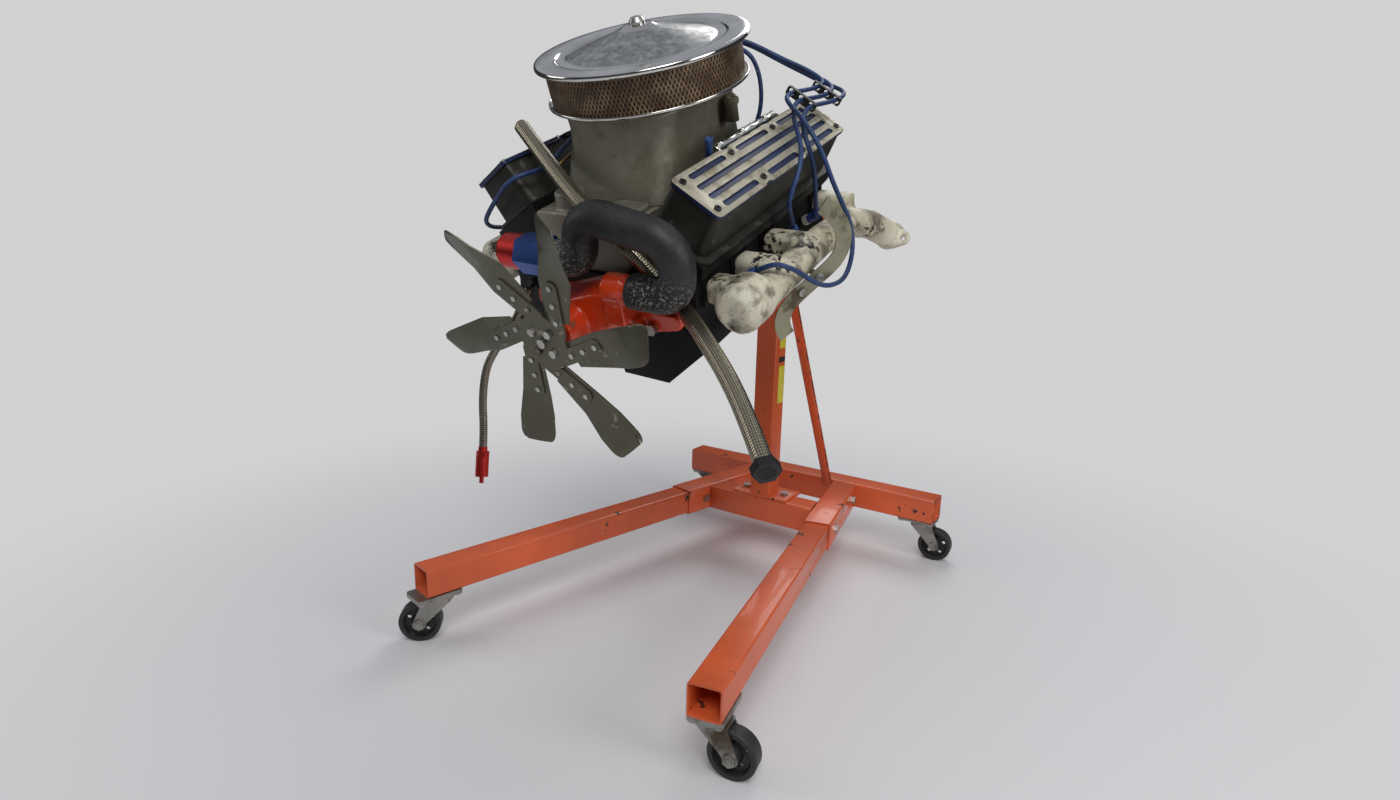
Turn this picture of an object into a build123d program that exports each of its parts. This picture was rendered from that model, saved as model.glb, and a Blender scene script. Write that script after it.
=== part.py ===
from build123d import *
import os
from math import cos, pi, radians, sin, tan

# A V8 piston engine hung nose-down on a rolling engine stand.
# World frame: +Z up, floor at z = 0, nose and fan towards -Y, the engine's left bank towards +X.
# The stand has its own frame (x = 0 at the post, y = 0 at the front face of the rear cross tube).
# The engine has its own frame too (y = 0 at the face that bolts to the stand, nose towards -y).

# Where the stand frame lies in the world, so that the origin is under the middle of the whole thing
stand_x = -12.0
stand_y = 486.0

# Square tubes of the stand
tube = 63.5  # cross tubes and leg sockets
tube_wall = 3.0
tube_corner = 5.0
leg_tube = 57.0  # slides into a socket
post_tube = 54.3
frame_top = 165.7  # top of cross tubes and sockets above the floor

# Layout of the base frame
rear_tube_length = 737.5
leg_spread = 127.2  # from the centre plane to a leg's axis, at the rear cross tube
leg_splay = 11.54  # degrees that each leg opens outwards
socket_length = 318.0
leg_length = 1009.5  # from the rear cross tube to the leg's open end
leg_insert = 250.0  # how far the leg reaches into its socket
front_tube_front = 244.2  # front face of the front cross tube, ahead of the rear tube

# Post, brace and head
post_front = 241.9
foot_length = 150.0
foot_width = 82.0
foot_thickness = 6.4
head_height = 890.0  # head axis above the floor, at the post's middle
head_pitch = 22.5  # degrees, nose down
head_roll = 5.0  # degrees, engine turned towards its left bank
sleeve_radius = 30.2
sleeve_length = 150.0
shaft_radius = 26.0
shaft_clearance = 0.05
brace_width = 25.0
brace_thickness = 6.0
brace_reach = 78.0  # where the brace meets the rear cross tube, out from the centre plane

# Casters
wheel_radius = 40.6
wheel_width = 28.0
wheel_bore = 6.1
axle_radius = 6.0
fork_gap = 0.6  # between the wheel's hub and each fork cheek
fork_sheet = 3.2
fork_crown_z = 84.6  # underside of the fork's crown
caster_trail = 38.0
race_radius = 27.0
race_height = 9.0
pin_radius = 6.0
plate_sheet = 3.2
plate_length = 92.0
caster_inset = 36.0  # from the end of a tube to the swivel axis
swivel_gap = 0.3

# Engine, in its own frame
lift = 110.0  # head axis above the crank line
reach = 165.6  # from the bolted face back to the post's middle plane
bank_shift = 22.0  # the right bank sits this much further back
block_length = 505.0
deck = 324.0  # x + z of the left deck plane
crankcase_z = 38.0
head_length = 462.0
head_front = -500.0
cover_slope = 32.3  # degrees, slope of the valve covers
cover_x = 216.4  # centre of the cover's top plate
cover_z = 361.3
cover_plate_length = 445.0
cover_plate_width = 92.0
cover_plate_sheet = 7.0
cover_height = 72.0
cover_flange_width = 121.0
cover_flange_length = 466.0
cover_bolt_pitch = 139.0
cover_bolt_gauge = 64.0
pump_height = 165.0  # pump shaft above the crank line
pump_x = 0.0
fan_y = -636.0
fan_tip_radius = 220.0
lid_y = -276.0
lid_z = 528.0
lid_tilt = 4.5
lid_radius = 177.8
element_radius = 163.0
base_radius = 170.0


# Frames of the pieces
def leg_frame(side):
    """Frame at the root of a leg: z runs out along the leg, x points away from the other leg."""
    splay = radians(leg_splay)
    return Plane(
        origin=(side * leg_spread, 0, frame_top - tube / 2),
        x_dir=(side * cos(splay), sin(splay), 0),
        z_dir=(side * sin(splay), -cos(splay), 0),
    )


sides = (("left", 1), ("right", -1))
post_y = -post_front + post_tube / 2
pitch = radians(head_pitch)
roll = radians(head_roll)
forward = Vector(0, -cos(pitch), -sin(pitch))
engine_up = Vector(sin(roll), -sin(pitch) * cos(roll), cos(pitch) * cos(roll))
engine_side = Vector(cos(roll), sin(pitch) * sin(roll), -cos(pitch) * sin(roll))
head_frame = Plane(origin=(0, post_y, head_height), x_dir=(1, 0, 0), z_dir=forward)
engine_origin = Vector(0, post_y, head_height) + forward * reach - engine_up * lift
engine_frame = Plane(origin=engine_origin, x_dir=engine_side, z_dir=engine_up)

stand_place = Location((stand_x, stand_y, 0))
engine_place = stand_place * engine_frame.location


def save(builder, label, place):
    """Set a finished piece in its place, name it and write it out."""
    builder.part.move(place)
    builder.part.label = label
    export_step(builder.part, f"parts/{label}.step")


def tube_section(size, wall):
    """Section of a square tube with rounded corners, drawn in the open sketch."""
    RectangleRounded(size, size, tube_corner)
    RectangleRounded(size - 2 * wall, size - 2 * wall, tube_corner - wall / 2, mode=Mode.SUBTRACT)


os.makedirs("parts", exist_ok=True)

# Base frame
tube_mid = frame_top - tube / 2
with BuildPart() as rear_cross_tube:
    with BuildSketch(Plane.YZ):
        with Locations((tube / 2, tube_mid)):
            tube_section(tube, tube_wall)
    extrude(amount=rear_tube_length / 2, both=True)
save(rear_cross_tube, "rear_cross_tube", stand_place)

with BuildPart() as front_cross_tube:
    with BuildSketch(Plane.YZ):
        with Locations((-front_tube_front + tube / 2, tube_mid)):
            tube_section(tube, tube_wall)
    extrude(amount=leg_spread + socket_length, both=True)
    for name, side in sides:
        frame = leg_frame(side)
        inner_face = Plane(origin=frame.origin - frame.x_dir * tube / 2, z_dir=-frame.x_dir)
        split(bisect_by=inner_face, keep=Keep.TOP)
save(front_cross_tube, "front_cross_tube", stand_place)

socket_bolt_stations = (42.0, 258.0)
bolt_radius = 6.0
for name, side in sides:
    frame = leg_frame(side)
    with BuildPart() as leg_socket:
        with BuildSketch(frame.offset(-tube)):
            tube_section(tube, tube_wall)
        extrude(amount=tube + socket_length)
        split(bisect_by=Plane(origin=(0, 0, 0), z_dir=(0, -1, 0)), keep=Keep.TOP)
        for station in socket_bolt_stations:
            across = Plane(origin=frame.offset(station).origin, z_dir=frame.x_dir)
            with Locations(across):
                Cylinder(bolt_radius + 0.3, tube * 1.5, mode=Mode.SUBTRACT)
    save(leg_socket, f"leg_socket_{name}", stand_place)

    with BuildPart() as leg:
        with BuildSketch(frame.offset(socket_length - leg_insert)):
            tube_section(leg_tube, tube_wall)
        extrude(amount=leg_length - socket_length + leg_insert)
        for station in socket_bolt_stations[1:]:
            across = Plane(origin=frame.offset(station).origin, z_dir=frame.x_dir)
            with Locations(across):
                Cylinder(bolt_radius + 0.3, tube * 1.5, mode=Mode.SUBTRACT)
    save(leg, f"leg_{name}", stand_place)

# Post on its welded foot plate, cut at the top to cradle the head sleeve
foot_z = frame_top
foot_bolt_spread = 54.0
post_corner = 5.0
with BuildPart() as post:
    with BuildSketch(Plane.XY.offset(foot_z)):
        with Locations((0, -front_tube_front + foot_width / 2)):
            RectangleRounded(foot_length, foot_width, 4)
        with Locations(*[(s * foot_bolt_spread, -front_tube_front + tube * 0.55) for s in (-1, 1)]):
            Circle(bolt_radius + 0.3, mode=Mode.SUBTRACT)
    extrude(amount=foot_thickness)
    with BuildSketch(Plane.XY.offset(foot_z + foot_thickness)):
        with Locations((0, post_y)):
            RectangleRounded(post_tube, post_tube, post_corner)
            RectangleRounded(post_tube - 2 * tube_wall, post_tube - 2 * tube_wall,
                             post_corner - tube_wall / 2, mode=Mode.SUBTRACT)
    extrude(amount=head_height - foot_z - foot_thickness)
    with Locations(head_frame):
        Cylinder(sleeve_radius, sleeve_length * 1.4, mode=Mode.SUBTRACT)
save(post, "post", stand_place)

# Head sleeve, with the boss of the clamp screw behind the post
boss_station = -52.0
boss_radius = 14.0
boss_height = 12.0
screw_radius = 7.0
with BuildPart() as head_sleeve:
    with BuildSketch(head_frame.offset(-sleeve_length / 2)):
        Circle(sleeve_radius)
    extrude(amount=sleeve_length)
    boss_frame = Plane(origin=head_frame.offset(boss_station).origin, x_dir=(1, 0, 0),
                       z_dir=head_frame.y_dir)
    with BuildSketch(boss_frame.offset(sleeve_radius - 4)):
        Circle(boss_radius)
    extrude(amount=boss_height + 4)
    with Locations(head_frame):
        Cylinder(shaft_radius + shaft_clearance, sleeve_length * 1.4, mode=Mode.SUBTRACT)
    with BuildSketch(boss_frame):
        Circle(screw_radius + shaft_clearance)
    extrude(amount=sleeve_radius + boss_height + 5, mode=Mode.SUBTRACT)
save(head_sleeve, "head_sleeve", stand_place)

with BuildPart() as clamp_screw:
    with BuildSketch(boss_frame.offset(shaft_radius + 0.5)):
        Circle(screw_radius)
    extrude(amount=46)
    with BuildSketch(boss_frame.offset(sleeve_radius + boss_height + 12)):
        Circle(10)
    extrude(amount=18)
    with Locations(boss_frame.offset(sleeve_radius + boss_height + 21)):
        Cylinder(5, 110, rotation=(0, 90, 0))
save(clamp_screw, "clamp_screw", stand_place)

# Flat brace bar from the back of the post down to the rear cross tube
brace_foot = Vector(brace_reach, 0, frame_top - 12)
brace_top = Vector(0, post_y + post_tube / 2, head_height - 96)
with BuildPart() as brace_bar:
    run = brace_top - brace_foot
    start = brace_foot - run.normalized() * 60
    with BuildSketch(Plane(origin=start, x_dir=(1, 0, 0), z_dir=run)):
        Rectangle(brace_width, brace_thickness)
    extrude(amount=run.length + 120)
    split(bisect_by=Plane(origin=(0, 0, 0), z_dir=(0, -1, 0)), keep=Keep.TOP)
    split(bisect_by=Plane(origin=(0, post_y + post_tube / 2, 0), z_dir=(0, 1, 0)), keep=Keep.TOP)
save(brace_bar, "brace_bar", stand_place)


# Casters. Each stands under a tube end; its fork trails in its own direction.
leg_bottom = frame_top - tube / 2 - leg_tube / 2
rear_bottom = frame_top - tube
crown_top = fork_crown_z + fork_sheet
race_top = crown_top + race_height


def caster_stations():
    """Name, swivel axis, height of the tube above, plate direction and trail direction of each."""
    stations = []
    for (name, side), trail in zip(sides, (10.0, 222.0)):
        frame = leg_frame(side)
        point = frame.offset(leg_length - caster_inset).origin
        stations.append((f"front_{name}", point, leg_bottom, -side * (90 - leg_splay), trail))
    for (name, side), trail in zip(sides, (5.0, 62.0)):
        point = Vector(side * (rear_tube_length / 2 - caster_inset), tube / 2, 0)
        stations.append((f"rear_{name}", point, rear_bottom, 0.0 if side > 0 else 180.0, trail))
    return stations


plate_hole_pitch = 74.0
plate_hole_gauge = 42.0
plate_hole_radius = 4.2
with BuildPart() as caster_plates:
    for name, point, bottom, heading, trail in caster_stations():
        plate_plane = Plane(origin=(point.X, point.Y, race_top + swivel_gap)).rotated((0, 0, heading))
        with BuildSketch(plate_plane):
            with Locations((-(plate_length / 2 - caster_inset), 0)):
                RectangleRounded(plate_length, tube - 3, 8)
                with GridLocations(plate_hole_pitch, plate_hole_gauge, 2, 2):
                    Circle(plate_hole_radius, mode=Mode.SUBTRACT)
        extrude(amount=bottom - race_top - swivel_gap)
        with BuildSketch(plate_plane):
            Circle(pin_radius)
        extrude(amount=-(race_top - fork_crown_z + 2 * swivel_gap))
        with BuildSketch(plate_plane.offset(-(race_top - fork_crown_z + 2 * swivel_gap))):
            Circle(pin_radius + 3)
        extrude(amount=-1.8)
save(caster_plates, "caster_plates", stand_place)

# Bolts of the stand: across the sockets, through the post's foot, and up into the tubes over the casters
bolt_across = 18.0
bolt_head_height = 7.5
with BuildPart() as stand_bolts:
    for name, side in sides:
        frame = leg_frame(side)
        for station in socket_bolt_stations:
            middle = frame.offset(station).origin
            outer = Plane(origin=middle + frame.x_dir * tube / 2, z_dir=frame.x_dir)
            inner = Plane(origin=middle - frame.x_dir * tube / 2, z_dir=-frame.x_dir)
            with Locations(Plane(origin=middle, z_dir=frame.x_dir)):
                Cylinder(bolt_radius, tube + 2)
            for face in (outer, inner):
                with BuildSketch(face):
                    RegularPolygon(bolt_across / 2, 6, major_radius=False)
                extrude(amount=bolt_head_height)
    for s in (-1, 1):
        head = Plane(origin=(s * foot_bolt_spread, -front_tube_front + tube * 0.55,
                             foot_z + foot_thickness))
        with BuildSketch(head):
            RegularPolygon(bolt_across / 2, 6, major_radius=False)
        extrude(amount=bolt_head_height)
        with BuildSketch(head):
            Circle(bolt_radius)
        extrude(amount=-foot_thickness)
    for name, point, bottom, heading, trail in caster_stations():
        plate_plane = Plane(origin=(point.X, point.Y, race_top + swivel_gap)).rotated((0, 0, heading))
        with Locations(plate_plane):
            with Locations((-(plate_length / 2 - caster_inset), 0)):
                with GridLocations(plate_hole_pitch, plate_hole_gauge, 2, 2):
                    Cylinder(plate_hole_radius - 0.2, bottom - race_top - swivel_gap,
                             align=(Align.CENTER, Align.CENTER, Align.MIN))
                    Cylinder(6.5, 4.0, align=(Align.CENTER, Align.CENTER, Align.MAX))
save(stand_bolts, "stand_bolts", stand_place)


hub_half = wheel_width / 2 + 1.5
cheek_inner = hub_half + fork_gap
cheek_outer = cheek_inner + fork_sheet
axle_boss = 13.0
for name, point, bottom, heading, trail in caster_stations():
    # the fork's own frame: x trails from the swivel axis, z up from the floor
    fork_place = stand_place * Location((point.X, point.Y, 0), (0, 0, trail))
    with BuildPart() as fork:
        with BuildSketch(Plane.XZ.offset(-cheek_outer)):
            with BuildLine():
                crown_back = (-24.0, crown_top)
                crown_front = (30.0, crown_top)
                toe = (caster_trail + axle_boss, wheel_radius)
                heel = (caster_trail - axle_boss, wheel_radius)
                Polyline(heel, crown_back, crown_front, toe)
                ThreePointArc(toe, (caster_trail, wheel_radius - axle_boss), heel)
            make_face()
        extrude(amount=2 * cheek_outer)
        with Locations((0, 0, 0)):
            Box(300, 2 * cheek_inner, 2 * fork_crown_z, mode=Mode.SUBTRACT)
        with BuildSketch(Plane.XY.offset(crown_top)):
            Circle(race_radius)
        extrude(amount=race_height)
        chamfer(fork.faces().sort_by(Axis.Z)[-1].edges(), 2.5)
        with Locations((0, 0, crown_top)):
            Cylinder(pin_radius + 0.1, 60, mode=Mode.SUBTRACT)
            with Locations((0, 0, -fork_sheet)):
                Cylinder(pin_radius + 0.1, 10, mode=Mode.SUBTRACT)
        with Locations(Plane(origin=(caster_trail, 0, wheel_radius), z_dir=(0, 1, 0))):
            Cylinder(axle_radius, 2 * (cheek_outer + 9))
        for s in (-1, 1):
            cheek = Plane(origin=(caster_trail, s * cheek_outer, wheel_radius), z_dir=(0, s, 0))
            with BuildSketch(cheek):
                RegularPolygon(9.5, 6, major_radius=False)
            extrude(amount=6.5)
    save(fork, f"caster_fork_{name}", fork_place)

    with BuildPart() as wheel:
        axle = Plane(origin=(caster_trail, 0, wheel_radius), x_dir=(1, 0, 0), z_dir=(0, -1, 0))
        half = wheel_width / 2
        rim_depth = 9.0
        with BuildSketch(Plane(origin=axle.origin, x_dir=(0, 1, 0), z_dir=(-1, 0, 0))):
            with BuildLine():
                Polyline(
                    (-hub_half, wheel_bore), (-hub_half, 13), (-4, 17),
                    (-4, wheel_radius - rim_depth - 3), (-half, wheel_radius - rim_depth),
                    (-half, wheel_radius - 2), (-half + 2, wheel_radius),
                    (half - 2, wheel_radius), (half, wheel_radius - 2),
                    (half, wheel_radius - rim_depth), (4, wheel_radius - rim_depth - 3),
                    (4, 17), (hub_half, 13), (hub_half, wheel_bore), close=True)
            make_face()
        revolve(axis=Axis(axle.origin, (0, 1, 0)))
        with BuildSketch(axle.offset(-20)):
            with PolarLocations(23.0, 5, start_angle=20):
                Circle(4.6)
        extrude(amount=40, mode=Mode.SUBTRACT)
    save(wheel, f"caster_wheel_{name}", fork_place)

# Head plate with its shaft, and the arms that carry the engine. All in the engine's frame.
head_center = (0, lift)
plate_back = reach - sleeve_length / 2 - 0.3
head_plate_thickness = 10.0
head_plate_radius = 92.0
arm_bar = 8.0
arm_bar_width = 38.0
arm_boss_radius = 14.0
arm_bolt_radius = 6.0
arm_inner_radius = 30.0
plate_bolt_radius = 66.0
arm_points = ((105.0, 205.0), (150.0, 70.0), (-105.0, 205.0), (-150.0, 70.0))
bar_front = plate_back - head_plate_thickness - arm_bar


def toward_back(y):
    """Sketch plane across the engine at y, looking from the front; extruding forwards is positive."""
    return Plane.XZ.offset(-y)


def arm_direction(point):
    """Unit vector in the plate's plane from the head axis to an arm's bolt."""
    return (Vector(*point) - Vector(*head_center)).normalized()


with BuildPart() as head_plate:
    with BuildSketch(toward_back(plate_back)):
        with Locations(head_center):
            Circle(head_plate_radius)
        for point in arm_points:
            spot = Vector(*head_center) + arm_direction(point) * plate_bolt_radius
            with Locations((spot.X, spot.Y)):
                Circle(arm_bolt_radius + 0.4, mode=Mode.SUBTRACT)
    extrude(amount=head_plate_thickness)
    with BuildSketch(toward_back(plate_back)):
        with Locations(head_center):
            Circle(shaft_radius)
    extrude(amount=-(sleeve_length + 0.6))
    with BuildSketch(toward_back(plate_back + sleeve_length + 0.6)):
        with Locations(head_center):
            Circle(sleeve_radius + 3)
    extrude(amount=-6)
save(head_plate, "head_plate", engine_place)

with BuildPart() as engine_arms:
    for point in arm_points:
        along = arm_direction(point)
        inner = Vector(*head_center) + along * arm_inner_radius
        middle = (inner + Vector(*point)) * 0.5
        span = (Vector(*point) - inner).length
        with BuildSketch(toward_back(bar_front + arm_bar)):
            with Locations(Location((middle.X, middle.Y), along.get_signed_angle(Vector(1, 0, 0)) * -1)):
                SlotCenterToCenter(span, arm_bar_width)
            spot = Vector(*head_center) + along * plate_bolt_radius
            with Locations((spot.X, spot.Y)):
                Circle(arm_bolt_radius + 0.4, mode=Mode.SUBTRACT)
        extrude(amount=arm_bar)
        with BuildSketch(toward_back(bar_front)):
            with Locations(point):
                Circle(arm_boss_radius)
        extrude(amount=bar_front)
        with BuildSketch(toward_back(bar_front + arm_bar)):
            with Locations(point):
                Circle(arm_bolt_radius + 0.4)
        extrude(amount=bar_front + arm_bar, mode=Mode.SUBTRACT)
save(engine_arms, "engine_arms", engine_place)

thread_depth = 24.0
with BuildPart() as arm_bolts:
    for point in arm_points:
        with BuildSketch(toward_back(bar_front + arm_bar)):
            with Locations(point):
                Circle(arm_bolt_radius)
        extrude(amount=bar_front + arm_bar + thread_depth)
        with BuildSketch(toward_back(bar_front + arm_bar)):
            with Locations(point):
                RegularPolygon(9.5, 6, major_radius=False)
        extrude(amount=-bolt_head_height)
        spot = Vector(*head_center) + arm_direction(point) * plate_bolt_radius
        with BuildSketch(toward_back(plate_back)):
            with Locations((spot.X, spot.Y)):
                Circle(arm_bolt_radius)
        extrude(amount=head_plate_thickness + arm_bar)
        with BuildSketch(toward_back(bar_front)):
            with Locations((spot.X, spot.Y)):
                RegularPolygon(9.5, 6, major_radius=False)
        extrude(amount=bolt_head_height)
save(arm_bolts, "arm_bolts", engine_place)

# Cylinder block: V body between a wide front bulkhead and the rear flange, open underneath
bay_radius = 80.0
bay_length = 88.0
bulkhead = 18.0
rear_flange = 14.0


def mirrored_outline(points):
    """Closed outline from one half's points, which run from the centre line back to it."""
    return [*points, *[(-x, z) for x, z in reversed(points) if x > 0]]


with BuildPart() as cylinder_block:
    body = mirrored_outline([
        (0, crankcase_z), (106, crankcase_z), (deck / 2 + 34, deck / 2 - 38),
        (deck / 2 + 36, deck / 2 - 36), (deck / 2 - 52, deck / 2 + 52), (58, 176), (0, 170)])
    with BuildSketch(toward_back(-rear_flange)):
        with BuildLine():
            Polyline(*body, close=True)
        make_face()
    extrude(amount=block_length - rear_flange - bulkhead)
    front = mirrored_outline([
        (0, crankcase_z), (128, crankcase_z), (deck / 2 + 48, deck / 2 - 48),
        (deck / 2 - 54, deck / 2 + 54), (0, deck / 2 + 54)])
    with BuildSketch(toward_back(-block_length + bulkhead)):
        with BuildLine():
            Polyline(*front, close=True)
        make_face()
    extrude(amount=bulkhead)
    flange = mirrored_outline([
        (0, crankcase_z), (120, crankcase_z), (172, 66), (172, 112), (132, 232), (70, 246), (0, 246)])
    with BuildSketch(toward_back(0)):
        with BuildLine():
            Polyline(*flange, close=True)
        make_face()
    extrude(amount=rear_flange)
    for point in arm_points:
        if point[1] < lift:
            with BuildSketch(toward_back(0)):
                with Locations(point):
                    Circle(13)
            extrude(amount=thread_depth + 6)
        with BuildSketch(toward_back(0)):
            with Locations(point):
                Circle(arm_bolt_radius + 0.05)
        extrude(amount=thread_depth + 2, mode=Mode.SUBTRACT)
    bay_pitch = (block_length - bulkhead - rear_flange) / 4
    for bay in range(4):
        middle_y = -rear_flange - bay_pitch * (bay + 0.5)
        with Locations((0, middle_y, crankcase_z)):
            Cylinder(bay_radius, bay_length, rotation=(90, 0, 0), mode=Mode.SUBTRACT)
    with Locations((0, -block_length / 2, crankcase_z)):
        Cylinder(34, block_length + 10, rotation=(90, 0, 0), mode=Mode.SUBTRACT)
save(cylinder_block, "cylinder_block", engine_place)

# Cylinder heads
slope = radians(cover_slope)
cover_flange = 5.0
cover_total = cover_height + cover_plate_sheet + cover_flange
rail_x = cover_x - cover_total * sin(slope)
rail_z = cover_z - cover_total * cos(slope)
rail_half = cover_flange_width / 2 - 1
head_outline = (
    (deck / 2 - 54, deck / 2 + 54), (deck / 2 + 50, deck / 2 - 50), (207, 146), (200, 172),
    (203, 226), (216, 240), (rail_x + rail_half * cos(slope), rail_z - rail_half * sin(slope)),
    (rail_x - rail_half * cos(slope), rail_z + rail_half * sin(slope)), (99, 262))
plug_stations = (-402.0, -329.0, -219.0, -130.0)
port_stations = (-456.0, -368.0, -268.0, -72.0)
port_face_x = 206.0
port_z = 205.0
plug_z = 184.0
plug_radius = 7.0
for name, side in sides:
    back = 0 if side > 0 else bank_shift
    with BuildPart() as cylinder_head:
        with BuildSketch(toward_back(head_front + head_length + back)):
            with BuildLine():
                Polyline(*[(side * x, z) for x, z in head_outline], close=True)
            make_face()
        extrude(amount=head_length)
        for station in port_stations:
            with Locations((side * (port_face_x - 15), station + back, port_z)):
                Box(30, 54, 44)
        for station in plug_stations:
            with Locations(Location((side * 196, station + back, plug_z), (0, side * 62, 0))):
                Cylinder(13, 24)
                Cylinder(plug_radius + 0.3, 60, mode=Mode.SUBTRACT)
    save(cylinder_head, f"cylinder_head_{name}", engine_place)

# Spark plugs: hex, shell and ribbed insulator, one solid each
with BuildPart() as spark_plugs:
    for name, side in sides:
        back = 0 if side > 0 else bank_shift
        for station in plug_stations:
            seat = Location((side * 196, station + back, plug_z), (0, side * 62, 0))
            with Locations(seat):
                with Locations((0, 0, 13)):
                    Cylinder(plug_radius, 50)
                with Locations((0, 0, 19)):
                    Cylinder(9.4, 9)
save(spark_plugs, "spark_plugs", engine_place)


# Valve covers, each with a slotted plate on top
def cover_frame(side, back):
    """Frame at the centre of a cover's top face: x runs to the rear, z stands out of the cover."""
    middle = head_front + head_length / 2 + back
    return Plane(origin=(side * cover_x, middle, cover_z), x_dir=(0, 1, 0),
                 z_dir=(side * sin(slope), 0, cos(slope)))


groove_width = 10.5
groove_depth = 2.5
groove_rows = (-cover_bolt_gauge / 2, -cover_bolt_gauge / 6, cover_bolt_gauge / 6, cover_bolt_gauge / 2)
bolt_stations = [cover_bolt_pitch * (i - 1.5) for i in range(4)]
cover_bolt_points = [(x, s * cover_bolt_gauge / 2) for x in bolt_stations for s in (-1, 1)]
short_groove = cover_bolt_pitch - 38
long_groove = 3 * cover_bolt_pitch - 22
cover_bolt_radius = 3.2
for name, side in sides:
    frame = cover_frame(side, 0 if side > 0 else bank_shift)
    with BuildPart() as valve_cover:
        with BuildSketch(frame.offset(-cover_total)):
            RectangleRounded(cover_flange_length, cover_flange_width, 24)
        extrude(amount=cover_flange)
        with BuildSketch(frame.offset(-cover_height - cover_plate_sheet)):
            RectangleRounded(cover_flange_length - 22, cover_flange_width - 22, 18)
        with BuildSketch(frame.offset(-cover_plate_sheet)):
            RectangleRounded(cover_plate_length - 6, cover_plate_width - 6, 12)
        loft()
        with BuildSketch(frame.offset(-cover_plate_sheet)):
            with Locations(*cover_bolt_points):
                Circle(cover_bolt_radius + 0.1)
        extrude(amount=-14, mode=Mode.SUBTRACT)
    save(valve_cover, f"valve_cover_{name}", engine_place)

    with BuildPart() as cover_plate:
        with BuildSketch(frame.offset(-cover_plate_sheet)):
            RectangleRounded(cover_plate_length, cover_plate_width, 9)
            for x in bolt_stations[1:3]:
                for s in (-1, 1):
                    with Locations((x, s * (cover_plate_width / 2 + 14))):
                        Circle(18, mode=Mode.SUBTRACT)
            with Locations(*cover_bolt_points):
                Circle(cover_bolt_radius + 0.3, mode=Mode.SUBTRACT)
        extrude(amount=cover_plate_sheet)
        with BuildSketch(frame):
            for row in (groove_rows[0], groove_rows[3]):
                with Locations(*[(cover_bolt_pitch * (i - 1), row) for i in range(3)]):
                    SlotOverall(short_groove, groove_width)
            for row in groove_rows[1:3]:
                with Locations((0, row)):
                    SlotOverall(long_groove, groove_width)
        extrude(amount=-groove_depth, mode=Mode.SUBTRACT)
    save(cover_plate, f"cover_plate_{name}", engine_place)

with BuildPart() as cover_bolts:
    for name, side in sides:
        frame = cover_frame(side, 0 if side > 0 else bank_shift)
        with BuildSketch(frame.offset(-cover_plate_sheet - 12)):
            with Locations(*cover_bolt_points):
                Circle(cover_bolt_radius)
        extrude(amount=cover_plate_sheet + 12)
        with BuildSketch(frame):
            with Locations(*cover_bolt_points):
                Circle(5.4)
        extrude(amount=3)
        with BuildSketch(frame.offset(3)):
            with Locations(*cover_bolt_points):
                RegularPolygon(2.4, 6)
        extrude(amount=-2, mode=Mode.SUBTRACT)
save(cover_bolts, "cover_bolts", engine_place)

# Intake manifold in the valley, and the cast plenum that stands on it
manifold_top = 312.0
manifold_front = -486.0
manifold_back = -44.0
manifold_outline = mirrored_outline([(0, 216), (60, 216), (98, 262), (112, 304), (107, manifold_top),
                                     (0, manifold_top)])
neck_x = -58.0
neck_y = -452.0
plenum_y = -276.0
with BuildPart() as intake_manifold:
    with BuildSketch(toward_back(manifold_back)):
        with BuildLine():
            Polyline(*manifold_outline, close=True)
        make_face()
    extrude(amount=manifold_back - manifold_front)
    with BuildSketch(Plane.XY.offset(manifold_top - 12)):
        with Locations((neck_x, neck_y)):
            Circle(26)
    extrude(amount=12 + 28, taper=3)
    with BuildSketch(Plane.XY.offset(manifold_top - 12)):
        with Locations((58, neck_y)):
            RectangleRounded(72, 46, 14)
    extrude(amount=12 + 12, taper=4)
save(intake_manifold, "intake_manifold", engine_place)

cleaner_frame = Plane(origin=(0, lid_y, lid_z), x_dir=(1, 0, 0),
                      z_dir=(0, -sin(radians(lid_tilt)), cos(radians(lid_tilt))))
base_drop = 69.5  # base pan's rim below the lid's rim
pan_sheet = 3.0
plenum_top_drop = base_drop + 5
with BuildPart() as plenum:
    with BuildSketch(Plane.XY.offset(manifold_top)):
        with Locations((0, plenum_y)):
            RectangleRounded(210, 296, 30)
    with BuildSketch(Plane.XY.offset(manifold_top + 44)):
        with Locations((0, plenum_y)):
            RectangleRounded(212, 262, 34)
    with BuildSketch(cleaner_frame.offset(-plenum_top_drop - 22)):
        RectangleRounded(212, 250, 44)
    with BuildSketch(cleaner_frame.offset(-plenum_top_drop)):
        RectangleRounded(230, 262, 60)
    loft()
save(plenum, "plenum", engine_place)

# Air cleaner: pan, pleated element, dished lid and its nut, round the cleaner's axis
rim_radius = 2.2
half_plane = Plane(origin=cleaner_frame.origin, x_dir=cleaner_frame.x_dir, z_dir=-cleaner_frame.y_dir)
cleaner_axis = Axis(cleaner_frame.origin, cleaner_frame.z_dir)
with BuildPart() as air_cleaner_base:
    with BuildSketch(half_plane):
        with BuildLine():
            Polyline((66, -plenum_top_drop), (base_radius - 24, -plenum_top_drop),
                     (base_radius - 16, -base_drop), (base_radius, -base_drop),
                     (base_radius, -base_drop + 6), (base_radius - pan_sheet, -base_drop + 6),
                     (base_radius - pan_sheet, -base_drop + pan_sheet),
                     (base_radius - 18, -base_drop + pan_sheet),
                     (base_radius - 26, -plenum_top_drop + pan_sheet),
                     (66, -plenum_top_drop + pan_sheet), close=True)
        make_face()
    revolve(axis=cleaner_axis)
save(air_cleaner_base, "air_cleaner_base", engine_place)

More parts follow.
